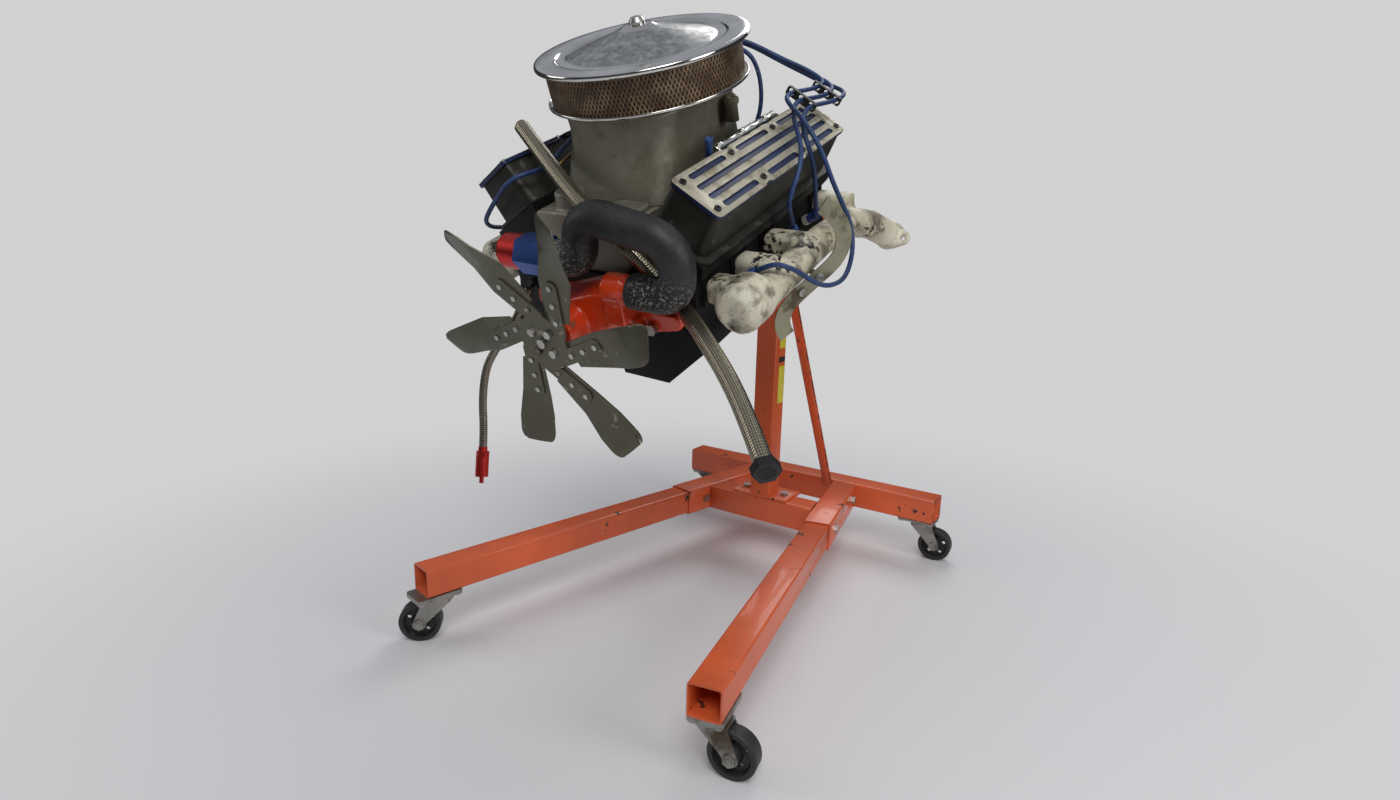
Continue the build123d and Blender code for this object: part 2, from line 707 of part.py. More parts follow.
element_bottom = -base_drop + pan_sheet
with BuildPart() as filter_element:
    with BuildSketch(cleaner_frame.offset(element_bottom)):
        Circle(element_radius)
        Circle(element_radius - 17, mode=Mode.SUBTRACT)
    extrude(amount=-element_bottom - pan_sheet)
save(filter_element, "filter_element", engine_place)

dish_radius = 143.0
cone_radius = 126.0
cone_height = 27.0
with BuildPart() as air_cleaner_lid:
    with BuildSketch(half_plane):
        with BuildLine():
            Polyline((0, cone_height), (24, cone_height), (30, cone_height - 4), (cone_radius, -5),
                     (dish_radius - 4, -5), (dish_radius, 0), (lid_radius - 4, 0),
                     (lid_radius, -4), (lid_radius, -8), (lid_radius - 2.5, -8),
                     (lid_radius - 2.5, -5), (lid_radius - 5, -pan_sheet),
                     (dish_radius + 2, -pan_sheet), (dish_radius - 3, -5 - pan_sheet),
                     (cone_radius - 1, -5 - pan_sheet), (29, cone_height - 4 - pan_sheet),
                     (24, cone_height - pan_sheet), (0, cone_height - pan_sheet), close=True)
        make_face()
    revolve(axis=cleaner_axis)
save(air_cleaner_lid, "air_cleaner_lid", engine_place)

with BuildPart() as lid_knob:
    with BuildSketch(half_plane):
        with BuildLine():
            Polyline((0, cone_height), (13, cone_height), (13, cone_height + 4), (9, cone_height + 10),
                     (0, cone_height + 12), close=True)
        make_face()
    revolve(axis=cleaner_axis)
save(lid_knob, "lid_knob", engine_place)

# Water pump: scroll body with bearing snout, two legs to the block, an arm and a hose neck
shaft_line = (pump_x, pump_height)
shaft_radius_pump = 8.0
pump_back = -block_length - 15
scroll_front = pump_back - 44
snout_front = fan_y + 30
neck_z = 236.0
hose_y = -558.0
hose_radius = 27.5
hose_bore = 20.0
neck_end = 168.0
arm_boss = (106.0, 172.0)
arm_bolt = (140.0, 164.0)
with BuildPart() as water_pump:
    with BuildSketch(toward_back(pump_back)):
        with Locations(shaft_line):
            Circle(52)
        with Locations((58, 190)):
            Circle(46)
        with Locations((-34, 150)):
            Circle(30)
        make_hull()
    extrude(amount=16)
    for depth, shrink in ((pump_back - 16, 0), (scroll_front, 17)):
        with BuildSketch(toward_back(depth)):
            with Locations(shaft_line):
                Circle(52 - shrink)
            with Locations((58, 190)):
                Circle(46 - shrink)
            with Locations((-34, 150)):
                Circle(30 - shrink)
            make_hull()
    loft()
    with BuildSketch(toward_back(scroll_front)):
        with Locations(shaft_line):
            Circle(32)
    extrude(amount=scroll_front - snout_front, taper=6)
    for side in (-1, 1):
        with BuildSketch(toward_back(-block_length)):
            with Locations((side * 90, 172)):
                Circle(24)
            with Locations((side * 28, 172)):
                Circle(32)
            make_hull()
        extrude(amount=18)
    with BuildSketch(toward_back(-block_length - 10)):
        with Locations(arm_boss):
            Circle(24)
        with Locations((182, 178)):
            Circle(12.5)
        make_hull()
    extrude(amount=22)
    with BuildSketch(toward_back(-block_length - 10)):
        with Locations(arm_boss):
            Circle(21)
    extrude(amount=46)
    with Locations((neck_end - 40, hose_y, neck_z)):
        Cylinder(hose_bore - 0.1, 80, rotation=(0, 90, 0))
    with Locations((101, hose_y + 2, neck_z - 24)):
        Box(34, 44, 64)
    with Locations((101, hose_y, neck_z)):
        Cylinder(hose_bore + 4, 34, rotation=(0, 90, 0))
    with Locations((neck_end - 28, hose_y, neck_z)):
        Cylinder(13, 60, rotation=(0, 90, 0), mode=Mode.SUBTRACT)
    with BuildSketch(toward_back(-block_length - 56)):
        with Locations(arm_boss):
            Circle(12)
    extrude(amount=-22, mode=Mode.SUBTRACT)
    with BuildSketch(toward_back(snout_front)):
        with Locations(shaft_line):
            Circle(shaft_radius_pump + 0.05)
    extrude(amount=-70, mode=Mode.SUBTRACT)
    with BuildSketch(toward_back(-block_length - 32)):
        with Locations(arm_bolt):
            Circle(5)
    extrude(amount=-22, mode=Mode.SUBTRACT)
save(water_pump, "water_pump", engine_place)


# Pump shaft with its fan hub
hub_radius = 34.0
hub_thickness = 8.0
fan_bolt_radius = 4.0
fan_bolt_circle = 24.0
fan_sheet = 3.0
fan_bolt_angle = 48.0
with BuildPart() as pump_shaft:
    with BuildSketch(toward_back(fan_y + 96)):
        with Locations(shaft_line):
            Circle(shaft_radius_pump)
    extrude(amount=96 + fan_sheet + 7)
    with BuildSketch(toward_back(fan_y + 29.6)):
        with Locations(shaft_line):
            Circle(19)
    extrude(amount=29.6)
    with BuildSketch(toward_back(fan_y + hub_thickness)):
        with Locations(shaft_line):
            Circle(hub_radius)
    extrude(amount=hub_thickness)
    with BuildSketch(toward_back(fan_y)):
        with Locations(shaft_line):
            with PolarLocations(fan_bolt_circle, 4, start_angle=fan_bolt_angle):
                Circle(fan_bolt_radius)
    extrude(amount=-hub_thickness, mode=Mode.SUBTRACT)
save(pump_shaft, "pump_shaft", engine_place)

# Fan: flat spider with six arms in front of six blades, each held by three rivets
first_blade = -33.5
rivet_row = 36.0
rivet_stations = (43.0, 72.0, 101.0)
rivet_radius = 2.5
blade_sheet = 2.0
blade_sections = ((44.0, 36.0, 44.0, 0.0), (112.0, 45.0, 62.0, 0.0),
                  (160.0, 51.0, 62.0, 20.0), (232.0, 58.0, 60.0, 30.0))


def blade_plane(index):
    """Plane of one blade: x runs out along its arm, y against the turn, z towards the front."""
    angle = radians(first_blade - 60.0 * index)
    return Plane(origin=(pump_x, fan_y, pump_height), x_dir=(cos(angle), 0, sin(angle)), z_dir=(0, -1, 0))


with BuildPart() as fan_spider:
    for index in range(6):
        with BuildSketch(blade_plane(index)):
            with Locations((62, -rivet_row)):
                RectangleRounded(98, 26, 10)
            Circle(48)
            Circle(shaft_radius_pump + 0.1, mode=Mode.SUBTRACT)
            with Locations(*[(r, -rivet_row) for r in rivet_stations]):
                Circle(rivet_radius + 0.05, mode=Mode.SUBTRACT)
        extrude(amount=fan_sheet)
    with BuildSketch(toward_back(fan_y + 1)):
        with Locations(shaft_line):
            Circle(shaft_radius_pump + 0.1)
            with PolarLocations(fan_bolt_circle, 4, start_angle=fan_bolt_angle):
                Circle(fan_bolt_radius + 0.2)
    extrude(amount=fan_sheet + 2, mode=Mode.SUBTRACT)
    for index in range(6):
        with BuildSketch(blade_plane(index).offset(-1)):
            with Locations(*[(r, -rivet_row) for r in rivet_stations]):
                Circle(rivet_radius + 0.05)
        extrude(amount=fan_sheet + 2, mode=Mode.SUBTRACT)
save(fan_spider, "fan_spider", engine_place)

with BuildPart() as fan_blades:
    for index in range(6):
        plane = blade_plane(index)
        blade_faces = []
        for station, middle, width, twist in blade_sections:
            lean = radians(twist)
            rise = (middle - rivet_row) * tan(lean) - blade_sheet / 2
            centre = plane.origin + plane.x_dir * station - plane.y_dir * middle + plane.z_dir * rise
            across = plane.y_dir * cos(lean) - plane.z_dir * sin(lean)
            with BuildSketch(Plane(origin=centre, x_dir=across, z_dir=plane.x_dir)) as section:
                Rectangle(width, blade_sheet)
            blade_faces.append(section.sketch)
        with BuildPart(mode=Mode.PRIVATE) as blade:
            for inner, outer in zip(blade_faces[:-1], blade_faces[1:]):
                loft([inner.face(), outer.face()], ruled=True)
            with BuildSketch(toward_back(fan_y + 60)):
                with Locations(shaft_line):
                    Circle(fan_tip_radius)
            extrude(amount=160, mode=Mode.INTERSECT)
            with BuildSketch(plane.offset(-blade_sheet - 1)):
                with Locations(*[(r, -rivet_row) for r in rivet_stations]):
                    Circle(rivet_radius + 0.05)
            extrude(amount=blade_sheet + 2, mode=Mode.SUBTRACT)
        add(blade.part)
save(fan_blades, "fan_blades", engine_place)

with BuildPart() as fan_rivets:
    for index in range(6):
        plane = blade_plane(index)
        places = [(r, -rivet_row) for r in rivet_stations]
        with BuildSketch(plane.offset(-blade_sheet)):
            with Locations(*places):
                Circle(rivet_radius)
        extrude(amount=blade_sheet + fan_sheet)
        with BuildSketch(plane.offset(fan_sheet)):
            with Locations(*places):
                Circle(rivet_radius + 2)
        extrude(amount=2.2)
save(fan_rivets, "fan_rivets", engine_place)

with BuildPart() as fan_bolts:
    with BuildSketch(toward_back(fan_y + hub_thickness)):
        with Locations(shaft_line):
            with PolarLocations(fan_bolt_circle, 4, start_angle=fan_bolt_angle):
                Circle(fan_bolt_radius - 0.1)
    extrude(amount=hub_thickness + fan_sheet)
    with BuildSketch(toward_back(fan_y - fan_sheet)):
        with Locations(shaft_line):
            with PolarLocations(fan_bolt_circle, 4, start_angle=fan_bolt_angle):
                RegularPolygon(6.5, 6, major_radius=False)
    extrude(amount=5.5)
save(fan_bolts, "fan_bolts", engine_place)

# Moulded rubber hose from the pump's neck, up across the front and down to the coupling
coupling_z = 272.0
coupling_end = -12.0
hose_line = ((coupling_end, coupling_z), (40.0, coupling_z), (54.0, 352.0), (222.0, 322.0),
             (212.0, neck_z), (132.0, neck_z))
hose_bends = (34.0, 44.0, 46.0, 38.0)
with BuildPart() as rubber_hose:
    with BuildLine():
        path = FilletPolyline(*[(x, hose_y, z) for x, z in hose_line], radius=hose_bends)
    with BuildSketch(Plane(origin=path @ 0, z_dir=path % 0)):
        Circle(hose_radius)
        Circle(hose_bore, mode=Mode.SUBTRACT)
    sweep(path=path)
save(rubber_hose, "rubber_hose", engine_place)

# Coupling on the hose's other end: blue hexagon nut with a nipple, and a red socket screwed into it
blue_length = 58.0
red_length = 46.0
coupling_plane = Plane(origin=(coupling_end, hose_y, coupling_z), x_dir=(0, 1, 0), z_dir=(-1, 0, 0))
with BuildPart() as blue_fitting:
    with BuildSketch(coupling_plane.offset(-20)):
        Circle(hose_bore - 0.1)
    extrude(amount=20)
    with BuildSketch(coupling_plane):
        Circle(29)
    extrude(amount=7)
    with BuildSketch(coupling_plane.offset(7)):
        RegularPolygon(29, 6, major_radius=False)
    extrude(amount=blue_length)
    with BuildSketch(coupling_plane.offset(-20)):
        Circle(14)
    extrude(amount=90, mode=Mode.SUBTRACT)
save(blue_fitting, "blue_fitting", engine_place)

with BuildPart() as red_socket:
    with BuildSketch(coupling_plane.offset(7 + blue_length)):
        Circle(29)
    extrude(amount=red_length - 10)
    with BuildSketch(coupling_plane.offset(7 + blue_length + red_length - 10)):
        Circle(29)
    extrude(amount=10, taper=35)
    with BuildSketch(coupling_plane.offset(7 + blue_length)):
        Circle(14)
    extrude(amount=red_length, mode=Mode.SUBTRACT)
save(red_socket, "red_socket", engine_place)

# Exhaust manifolds: a log with a swollen front end, four ports and a flanged outlet at the rear
log_radius = 27.0
log_points = ((275, -462, 186), (276, -215, 192), (280, -100, 184), (292, -20, 150), (308, 45, 105))
outlet_bore = 20.0
outlet_bolts = ((-34, 0), (34, 0))
for name, side in sides:
    back = 0 if side > 0 else bank_shift
    points = [Vector(side * x, y + back, z) for x, y, z in log_points]
    with BuildPart() as exhaust_manifold:
        with BuildLine():
            path = FilletPolyline(*points, radius=(200, 150, 60))
        with BuildSketch(Plane(origin=path @ 0, z_dir=path % 0)):
            Circle(log_radius)
        sweep(path=path)
        with BuildPart(mode=Mode.PRIVATE) as swell:
            with Locations((side * 264, -458 + back, 190)):
                Cylinder(41, 80, rotation=(90, 0, 0))
            chamfer(swell.edges().filter_by(GeomType.CIRCLE), 13)
        add(swell.part)
        for station in port_stations:
            face = Plane(origin=(side * port_face_x, station + back, port_z), x_dir=(0, 1, 0),
                         z_dir=(side, 0, 0))
            with BuildSketch(face):
                RectangleRounded(46, 42, 12)
            extrude(amount=70)
        end = Plane(origin=path @ 1, x_dir=(side * 0.943, -0.28, 0), z_dir=path % 1)
        with BuildSketch(end.offset(-2)):
            Circle(30)
            with Locations(*outlet_bolts):
                Circle(14)
            make_hull()
        extrude(amount=12)
        with BuildSketch(end.offset(-2)):
            with Locations(*outlet_bolts):
                Circle(5.2)
        extrude(amount=12, mode=Mode.SUBTRACT)
        with BuildSketch(end.offset(10)):
            Circle(outlet_bore)
        extrude(amount=-46, mode=Mode.SUBTRACT)
    save(exhaust_manifold, f"exhaust_manifold_{name}", engine_place)

# Curved strip of sheet outside the left manifold, held off it by two screws with spacers
shield_plane = Plane(origin=(305.6, -334.2, 0), x_dir=(0.6, 0.8, 0), z_dir=(0.8, -0.6, 0))
shield_line = ((33.6, 296), (58.6, 269), (70.8, 237), (61.4, 205), (30.0, 181), (-7.8, 159),
               (-37.2, 136), (-38.6, 86))
shield_width = 28.0
shield_sheet = 2.0
shield_screws_at = ((24.0, 177.0), (-7.8, 159.0))
shield_spacers = (21.5, 9.0)
with BuildPart() as plug_shield:
    with BuildSketch(shield_plane):
        with BuildLine():
            Spline(*shield_line)
        trace(line_width=shield_width)
        with Locations(*shield_screws_at):
            Circle(3.4, mode=Mode.SUBTRACT)
    extrude(amount=shield_sheet)
save(plug_shield, "plug_shield", engine_place)

# Bolt through the pump's arm and the two screws of the strip with their spacers
with BuildPart() as engine_screws:
    with BuildSketch(toward_back(-block_length - 12)):
        with Locations(arm_bolt):
            Circle(4.9)
    extrude(amount=20)
    with BuildSketch(toward_back(-block_length - 32)):
        with Locations(arm_bolt):
            RegularPolygon(9, 6, major_radius=False)
    extrude(amount=10)
    for spot, reach_in in zip(shield_screws_at, shield_spacers):
        with BuildSketch(shield_plane):
            with Locations(spot):
                Circle(5.5)
        extrude(amount=-reach_in)
    with BuildSketch(shield_plane):
        with Locations(*shield_screws_at):
            Circle(3.2)
    extrude(amount=shield_sheet)
    with BuildSketch(shield_plane.offset(shield_sheet)):
        with Locations(*shield_screws_at):
            Circle(7)
    extrude(amount=4)
save(engine_screws, "engine_screws", engine_place)


# Distributor at the rear of the manifold, cap with one tower per wire
distributor_y = -78.0
cap_z = 368.0
cap_height = 52.0
tower_circle = 28.0
with BuildPart() as distributor:
    with BuildSketch(Plane.XY.offset(manifold_top)):
        with Locations((0, distributor_y)):
            Circle(29)
    extrude(amount=cap_z - manifold_top)
    with BuildSketch(Plane.XY.offset(cap_z)):
        with Locations((0, distributor_y)):
            Circle(42)
    extrude(amount=cap_height, taper=8)
    with BuildSketch(Plane.XY.offset(cap_z + cap_height)):
        with Locations((0, distributor_y)):
            with PolarLocations(tower_circle, 8, start_angle=22.5):
                Circle(6.5)
            Circle(7)
    extrude(amount=14)
save(distributor, "distributor", engine_place)

# Free hoses and wires: straight runs joined by arcs
def cord_path(points):
    """Smoothly joined runs through hand-set points; prints the radii it uses."""
    spots = [Vector(*point) for point in points]
    radii = []
    for before, spot, after in zip(spots[:-2], spots[1:-1], spots[2:]):
        turn = radians((spot - before).get_angle(after - spot))
        shorter = min((spot - before).length, (after - spot).length)
        radii.append(0.45 * shorter / tan(turn / 2))
    print("cord radii", [round(radius) for radius in radii])
    return FilletPolyline(*spots, radius=radii)


braid_radius = 13.0
braid_bore = 10.5
large_hose_points = (
    (-195.3, -389.0, 418.7), (-124.5, -428.0, 389.9), (-57.7, -464.0, 362.0), (4.0, -493.0, 335.0),
    (90.0, -513.6, 290.0), (182.0, -514.5, 202.0), (274.4, -594.2, 203.5), (341.1, -641.9, 176.9),
    (399.7, -695.5, 151.0), (449.2, -749.2, 137.5))
with BuildPart() as braided_hose_large:
    with BuildLine():
        large_path = cord_path(large_hose_points)
    with BuildSketch(Plane(origin=large_path @ 0, z_dir=large_path % 0)):
        Circle(braid_radius)
        Circle(braid_bore, mode=Mode.SUBTRACT)
    sweep(path=large_path)
print("large hose length", round(large_path.length), "volume ratio",
      round(braided_hose_large.part.volume
            / (large_path.length * pi * (braid_radius ** 2 - braid_bore ** 2)), 3))
save(braided_hose_large, "braided_hose_large", engine_place)

small_radius = 7.15
small_hose_points = (
    (-130.0, -524.8, 184.0), (-136.0, -536.0, 166.0), (-154.3, -553.1, 131.9), (-172.8, -575.4, 102.7),
    (-190.6, -595.3, 76.8), (-198.5, -613.5, 53.3), (-195.6, -642.1, 7.8), (-185.5, -666.0, -38.9),
    (-180.1, -683.8, -65.8))
with BuildPart() as braided_hose_small:
    with BuildLine():
        small_path = cord_path(small_hose_points)
    with BuildSketch(Plane(origin=small_path @ 0, z_dir=small_path % 0)):
        Circle(small_radius)
    sweep(path=small_path)
print("small hose length", round(small_path.length), "volume ratio",
      round(braided_hose_small.part.volume / (small_path.length * pi * small_radius ** 2), 3))
save(braided_hose_small, "braided_hose_small", engine_place)


fitting_plane = Plane(origin=small_path @ 1, z_dir=small_path % 1)
with BuildPart() as red_end_fitting:
    with BuildSketch(fitting_plane):
        Circle(8)
    extrude(amount=8)
    with BuildSketch(fitting_plane.offset(8)):
        RegularPolygon(10.5, 6, major_radius=False)
    extrude(amount=10)
    with BuildSketch(fitting_plane.offset(18)):
        Circle(11.5)
    extrude(amount=36)
    with BuildSketch(fitting_plane.offset(54)):
        Circle(4)
    extrude(amount=12)
save(red_end_fitting, "red_end_fitting", engine_place)

# Hexagon ring on the large hose's lower end, and the small hose's union on the block
with BuildPart() as hose_fittings:
    with BuildSketch(Plane(origin=large_path @ 1, z_dir=large_path % 1).offset(-14)):
        RegularPolygon(16.5, 6, major_radius=False)
        Circle(braid_radius + 0.1, mode=Mode.SUBTRACT)
    extrude(amount=14)
    with BuildSketch(toward_back(-block_length)):
        with Locations((-130, 190)):
            RegularPolygon(11, 6, major_radius=False)
    extrude(amount=7)
    with BuildSketch(toward_back(-block_length - 7)):
        with Locations((-130, 190)):
            Circle(8)
    extrude(amount=7)
save(hose_fittings, "hose_fittings", engine_place)

# Plug wires: each runs from a tower of the cap to an elbow boot on its plug
wire_radius = 4.0
cap_boot_radius = 7.6
cap_boot_top = cap_z + cap_height + 14 + 8
boot_radius = 8.6
boot_foot = 24.0  # along the plug's axis, from the middle of its seat
elbow_station = 42.0
elbow_radius = 7.3
elbow_length = 24.0
plug_tip = 38.0
wires_left = (
    (-402.0, 0, (
        (27.0, -66.5, 466), (38, -62, 484), (58, -54, 489), (84, -38, 474), (118, -8, 446), (153, 14, 424),
        (171, 15, 414), (187, 7, 408), (196, -8, 404), (196.5, -40, 404), (191, -80, 409), (186, -118, 415),
        (190, -146, 413), (209, -167, 406), (236, -186, 394), (264, -202, 372), (285, -208, 340),
        (298, -206, 300), (311, -194, 256), (322, -186, 222), (335, -204, 192), (347, -246, 172),
        (353, -292, 164), (341, -328, 168), (325, -348, 184), (312, -366, 206), (304, -388, 224),
        (284, -402, 234))),
    (-219.0, 1, (
        (12, -51, 466), (24, -46, 482), (44, -38, 485), (72, -20, 468), (108, 4, 444), (142, 28, 420),
        (164, 32, 407), (188, 26, 400), (205, 11, 395), (214, -8, 392), (214.5, -42, 392), (209, -82, 397),
        (204, -118, 404), (206, -148, 401), (218, -176, 389), (240, -206, 371), (260, -236, 355),
        (268, -262, 334), (264, -282, 308), (256, -284, 282), (248, -264, 262))),
    (-130.0, 2, (
        (-9, -50, 466), (2, -42, 482), (24, -28, 486), (58, -6, 468), (98, 18, 438), (136, 40, 412),
        (164, 46, 397), (196, 42, 387), (218, 28, 385), (232, 8, 381), (232, -26, 381), (228, -70, 386),
        (221, -116, 393), (224, -150, 389), (238, -184, 376), (256, -206, 357), (264, -206, 332),
        (262, -194, 304), (257, -182, 272), (248, -164, 244))),
)
wire_right = (
    (-380.0, 3, (
        (-27, -66, 466), (-40, -67, 486), (-64, -75, 490), (-91, -96, 466), (-114, -128, 434),
        (-132, -170, 410), (-142, -216, 398), (-146, -262, 392), (-146, -308, 386), (-142, -354, 376),
        (-134, -400, 364), (-130, -440, 362), (-136, -472, 366), (-158, -488, 356), (-190, -489, 328),
        (-220, -489, 301), (-243, -484, 279), (-259, -463, 259), (-263, -436, 247), (-254, -408, 237))),
)
sender_spot = (96.0, -92.0)
sender_wire = (
    (30, -87, 462), (46, -83, 477), (70, -79, 480), (92, -78, 466), (104, -78, 440), (108, -79, 408),
    (106, -84, 376), (98, -91, 352))


def tower_spot(index):
    """Centre of one of the cap's towers."""
    angle = radians(22.5 + 45 * index)
    return (tower_circle * cos(angle), distributor_y + tower_circle * sin(angle))


def lay_wire(points):
    """Round wire along points, with the boot over the cap's tower that it starts from."""
    with BuildPart(mode=Mode.PRIVATE) as wire:
        with BuildLine():
            line = cord_path(points)
        with BuildSketch(Plane(origin=line @ 0, z_dir=line % 0)):
            Circle(wire_radius)
        sweep(path=line)
        ratio = wire.part.volume / (line.length * pi * wire_radius ** 2)
        print("wire length", round(line.length), "volume ratio", round(ratio, 3))
        with BuildSketch(Plane.XY.offset(cap_z + cap_height + 14.05)):
            with Locations((points[0][0], points[0][1])):
                Circle(cap_boot_radius)
        extrude(amount=8)
    return wire.part


def plug_wire(side, station, tower, points):
    """One wire from a tower to a plug, with the straight and the angled half of its boot."""
    axis = Vector(side * sin(radians(62)), 0, cos(radians(62)))
    seat = Vector(side * 196, station, plug_z)
    corner = seat + axis * elbow_station
    away = (Vector(*points[-1]) - corner).normalized()
    end = corner + away * elbow_length
    with BuildPart(mode=Mode.PRIVATE) as wire:
        add(lay_wire([(*tower_spot(tower), cap_boot_top), *points, (end.X, end.Y, end.Z)]))
        with BuildSketch(Plane(origin=seat + axis * boot_foot, z_dir=axis)):
            Circle(boot_radius)
        extrude(amount=elbow_station - boot_foot + elbow_radius)
        with BuildSketch(Plane(origin=corner, z_dir=away)):
            Circle(elbow_radius)
        extrude(amount=elbow_length)
        with BuildSketch(Plane(origin=seat, z_dir=axis)):
            Circle(plug_radius + 0.1)
        extrude(amount=plug_tip + 0.2, mode=Mode.SUBTRACT)
    return wire.part


with BuildPart() as plug_wires_left:
    for station, tower, points in wires_left:
        add(plug_wire(1, station, tower, points))
save(plug_wires_left, "plug_wires_left", engine_place)

with BuildPart() as plug_wires_right:
    for station, tower, points in wire_right:
        add(plug_wire(-1, station, tower, points))
save(plug_wires_right, "plug_wires_right", engine_place)

with BuildPart() as sender_lead:
    add(lay_wire([(*tower_spot(7), cap_boot_top), *sender_wire, (*sender_spot, 334)]))
    with BuildSketch(Plane.XY.offset(manifold_top)):
        with Locations(sender_spot):
            Circle(cap_boot_radius)
    extrude(amount=22)
save(sender_lead, "sender_lead", engine_place)

# Two combs hold the left wires apart above the rear half of the left cover
comb_height = 15.0
comb_depth = 7.0
comb_pitch = 21.0
comb_spots = ((186.0, -114.0, 415.0), (196.0, -31.0, 404.0))
with BuildPart() as wire_combs:
    for spot in comb_spots:
        across = Vector(cos(slope), 0, -sin(slope))
        comb_plane = Plane(origin=Vector(*spot) + across * comb_pitch, x_dir=across, z_dir=(0, -1, 0))
        with BuildSketch(comb_plane.offset(-comb_depth / 2)):
            RectangleRounded(2 * comb_pitch + 18, comb_height, 3)
            with Locations((-comb_pitch, 0), (0, 0), (comb_pitch, 0)):
                Circle(wire_radius + 2.4, mode=Mode.SUBTRACT)
        extrude(amount=comb_depth)
save(wire_combs, "wire_combs", engine_place)
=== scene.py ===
# %% [markdown]
# # V8 engine on a rolling stand
# A dressed V8 petrol engine hangs nose-down from the head of an orange rolling stand. The packed
# CAD model is the fixed frame: it says where each piece is and how large it is. This script gives
# each piece its surface, draws the cast, turned and woven pieces as finer meshes, and sets a
# camera and light like the photograph's. Metres, +Z up, floor at z = 0, the engine's nose towards
# -Y.

import math

import bmesh
import bpy
import numpy as np
from mathutils import Matrix, Vector


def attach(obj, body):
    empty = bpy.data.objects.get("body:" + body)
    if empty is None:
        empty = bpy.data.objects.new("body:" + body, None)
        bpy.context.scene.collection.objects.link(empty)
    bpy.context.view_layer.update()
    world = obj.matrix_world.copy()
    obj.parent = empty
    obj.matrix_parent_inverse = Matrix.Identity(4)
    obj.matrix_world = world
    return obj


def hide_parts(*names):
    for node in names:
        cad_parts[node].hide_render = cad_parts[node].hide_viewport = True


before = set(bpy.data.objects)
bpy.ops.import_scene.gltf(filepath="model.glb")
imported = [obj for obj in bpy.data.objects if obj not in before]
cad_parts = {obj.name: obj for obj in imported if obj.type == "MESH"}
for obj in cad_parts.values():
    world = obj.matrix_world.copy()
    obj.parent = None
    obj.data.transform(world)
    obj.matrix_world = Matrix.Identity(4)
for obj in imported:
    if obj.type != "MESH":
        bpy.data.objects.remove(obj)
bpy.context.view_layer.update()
cad_materials = len(bpy.data.materials)
print("CAD nodes:", len(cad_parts), "with", cad_materials, "plain materials")

# %% [markdown]
# ## The engine's own frame
# The engine turns with the stand's head: it is tipped nose-down, rolled a little, and its crank
# lies below the head's axis. Its pieces could be laid out in the world, with every number turned
# by hand. An engine is easier to measure along its own crank, so they are laid out in millimetres
# in the engine's frame (x to its left bank, y to the rear, z up, from the crank line at the
# bolted face) and one matrix carries them over.

# %% Engine frame
head_pitch = math.radians(22.5)
head_roll = math.radians(5.0)
head_lift = 110.0
head_reach = 165.6
head_height = 890.0
stand_shift = np.array([-12.0, 486.0, 0.0])
post_front_y = -241.9
post_width = 54.3
post_middle_y = post_front_y + post_width / 2
forward = np.array([0.0, -math.cos(head_pitch), -math.sin(head_pitch)])
engine_up = np.array([math.sin(head_roll), -math.sin(head_pitch) * math.cos(head_roll),
                      math.cos(head_pitch) * math.cos(head_roll)])
engine_side = np.array([math.cos(head_roll), math.sin(head_pitch) * math.sin(head_roll),
                        -math.cos(head_pitch) * math.sin(head_roll)])
engine_turn = np.stack([engine_side, -forward, engine_up])
engine_origin = (np.array([0.0, post_middle_y, head_height]) + forward * head_reach
                 - engine_up * head_lift + stand_shift)


def engine(points):
    """Engine's millimetres to shared metres: (point times turn, plus origin) / 1000."""
    return (np.asarray(points, float) @ engine_turn + engine_origin) / 1000


def stand(points):
    """Stand's millimetres to shared metres: (point plus the stand's shift) / 1000."""
    return (np.asarray(points, float) + stand_shift) / 1000


print("engine's origin, m:", np.round(engine_origin / 1000, 4))

# %% [markdown]
# ## Camera
# A wide view from the front left, a little above the engine's middle. A camera could be aimed at
# the model by eye, but then no two edges line up with the photograph. This one's direction, roll,
# place and focal length were solved from the stand's straight tubes, and are set here as numbers.

# %% Camera
scene = bpy.context.scene
focal_px = 742.5
image_width = 1400
sensor_width = 36.0
camera_azimuth = math.radians(33.412)
camera_drop = math.radians(12.569)
camera_roll = math.radians(1.573)
camera_place = (0.8328, -1.3177, 0.8041)

camera_data = bpy.data.cameras.new("photo_camera")
camera_data.sensor_width = sensor_width
camera_data.lens = focal_px / image_width * sensor_width
camera_data.clip_start = 0.01
camera = bpy.data.objects.new("photo_camera", camera_data)
scene.collection.objects.link(camera)
look = Vector((-math.sin(camera_azimuth) * math.cos(camera_drop),
               math.cos(camera_azimuth) * math.cos(camera_drop), -math.sin(camera_drop)))
level = Vector((math.cos(camera_azimuth), math.sin(camera_azimuth), 0.0))
upright = level.cross(look)
right = level * math.cos(camera_roll) + upright * math.sin(camera_roll)
top = upright * math.cos(camera_roll) - level * math.sin(camera_roll)
camera.matrix_world = Matrix((
    (right.x, top.x, -look.x, camera_place[0]),
    (right.y, top.y, -look.y, camera_place[1]),
    (right.z, top.z, -look.z, camera_place[2]),
    (0, 0, 0, 1)))
scene.camera = camera
scene.view_settings.view_transform = "Standard"
print("lens, mm:", round(camera_data.lens, 2), "at", camera_place)

# %% [markdown]
# ## Shader helpers
# A finish is a small tree of nodes. Each could be wired by hand in the shader editor, but the
# same few steps come back in all of them, so they are short functions here: add a node, do one
# sum, read noise, step a value smoothly from 0 to 1. Noise reads Object coordinates, which are
# metres on the piece itself, so a grain keeps its size from one piece to the next.

# %% Node helpers
def node(tree, kind, at=(0, 0), **settings):
    """New shader node with its settings applied."""
    made = tree.nodes.new(kind)
    made.location = at
    for key, value in settings.items():
        setattr(made, key, value)
    return made


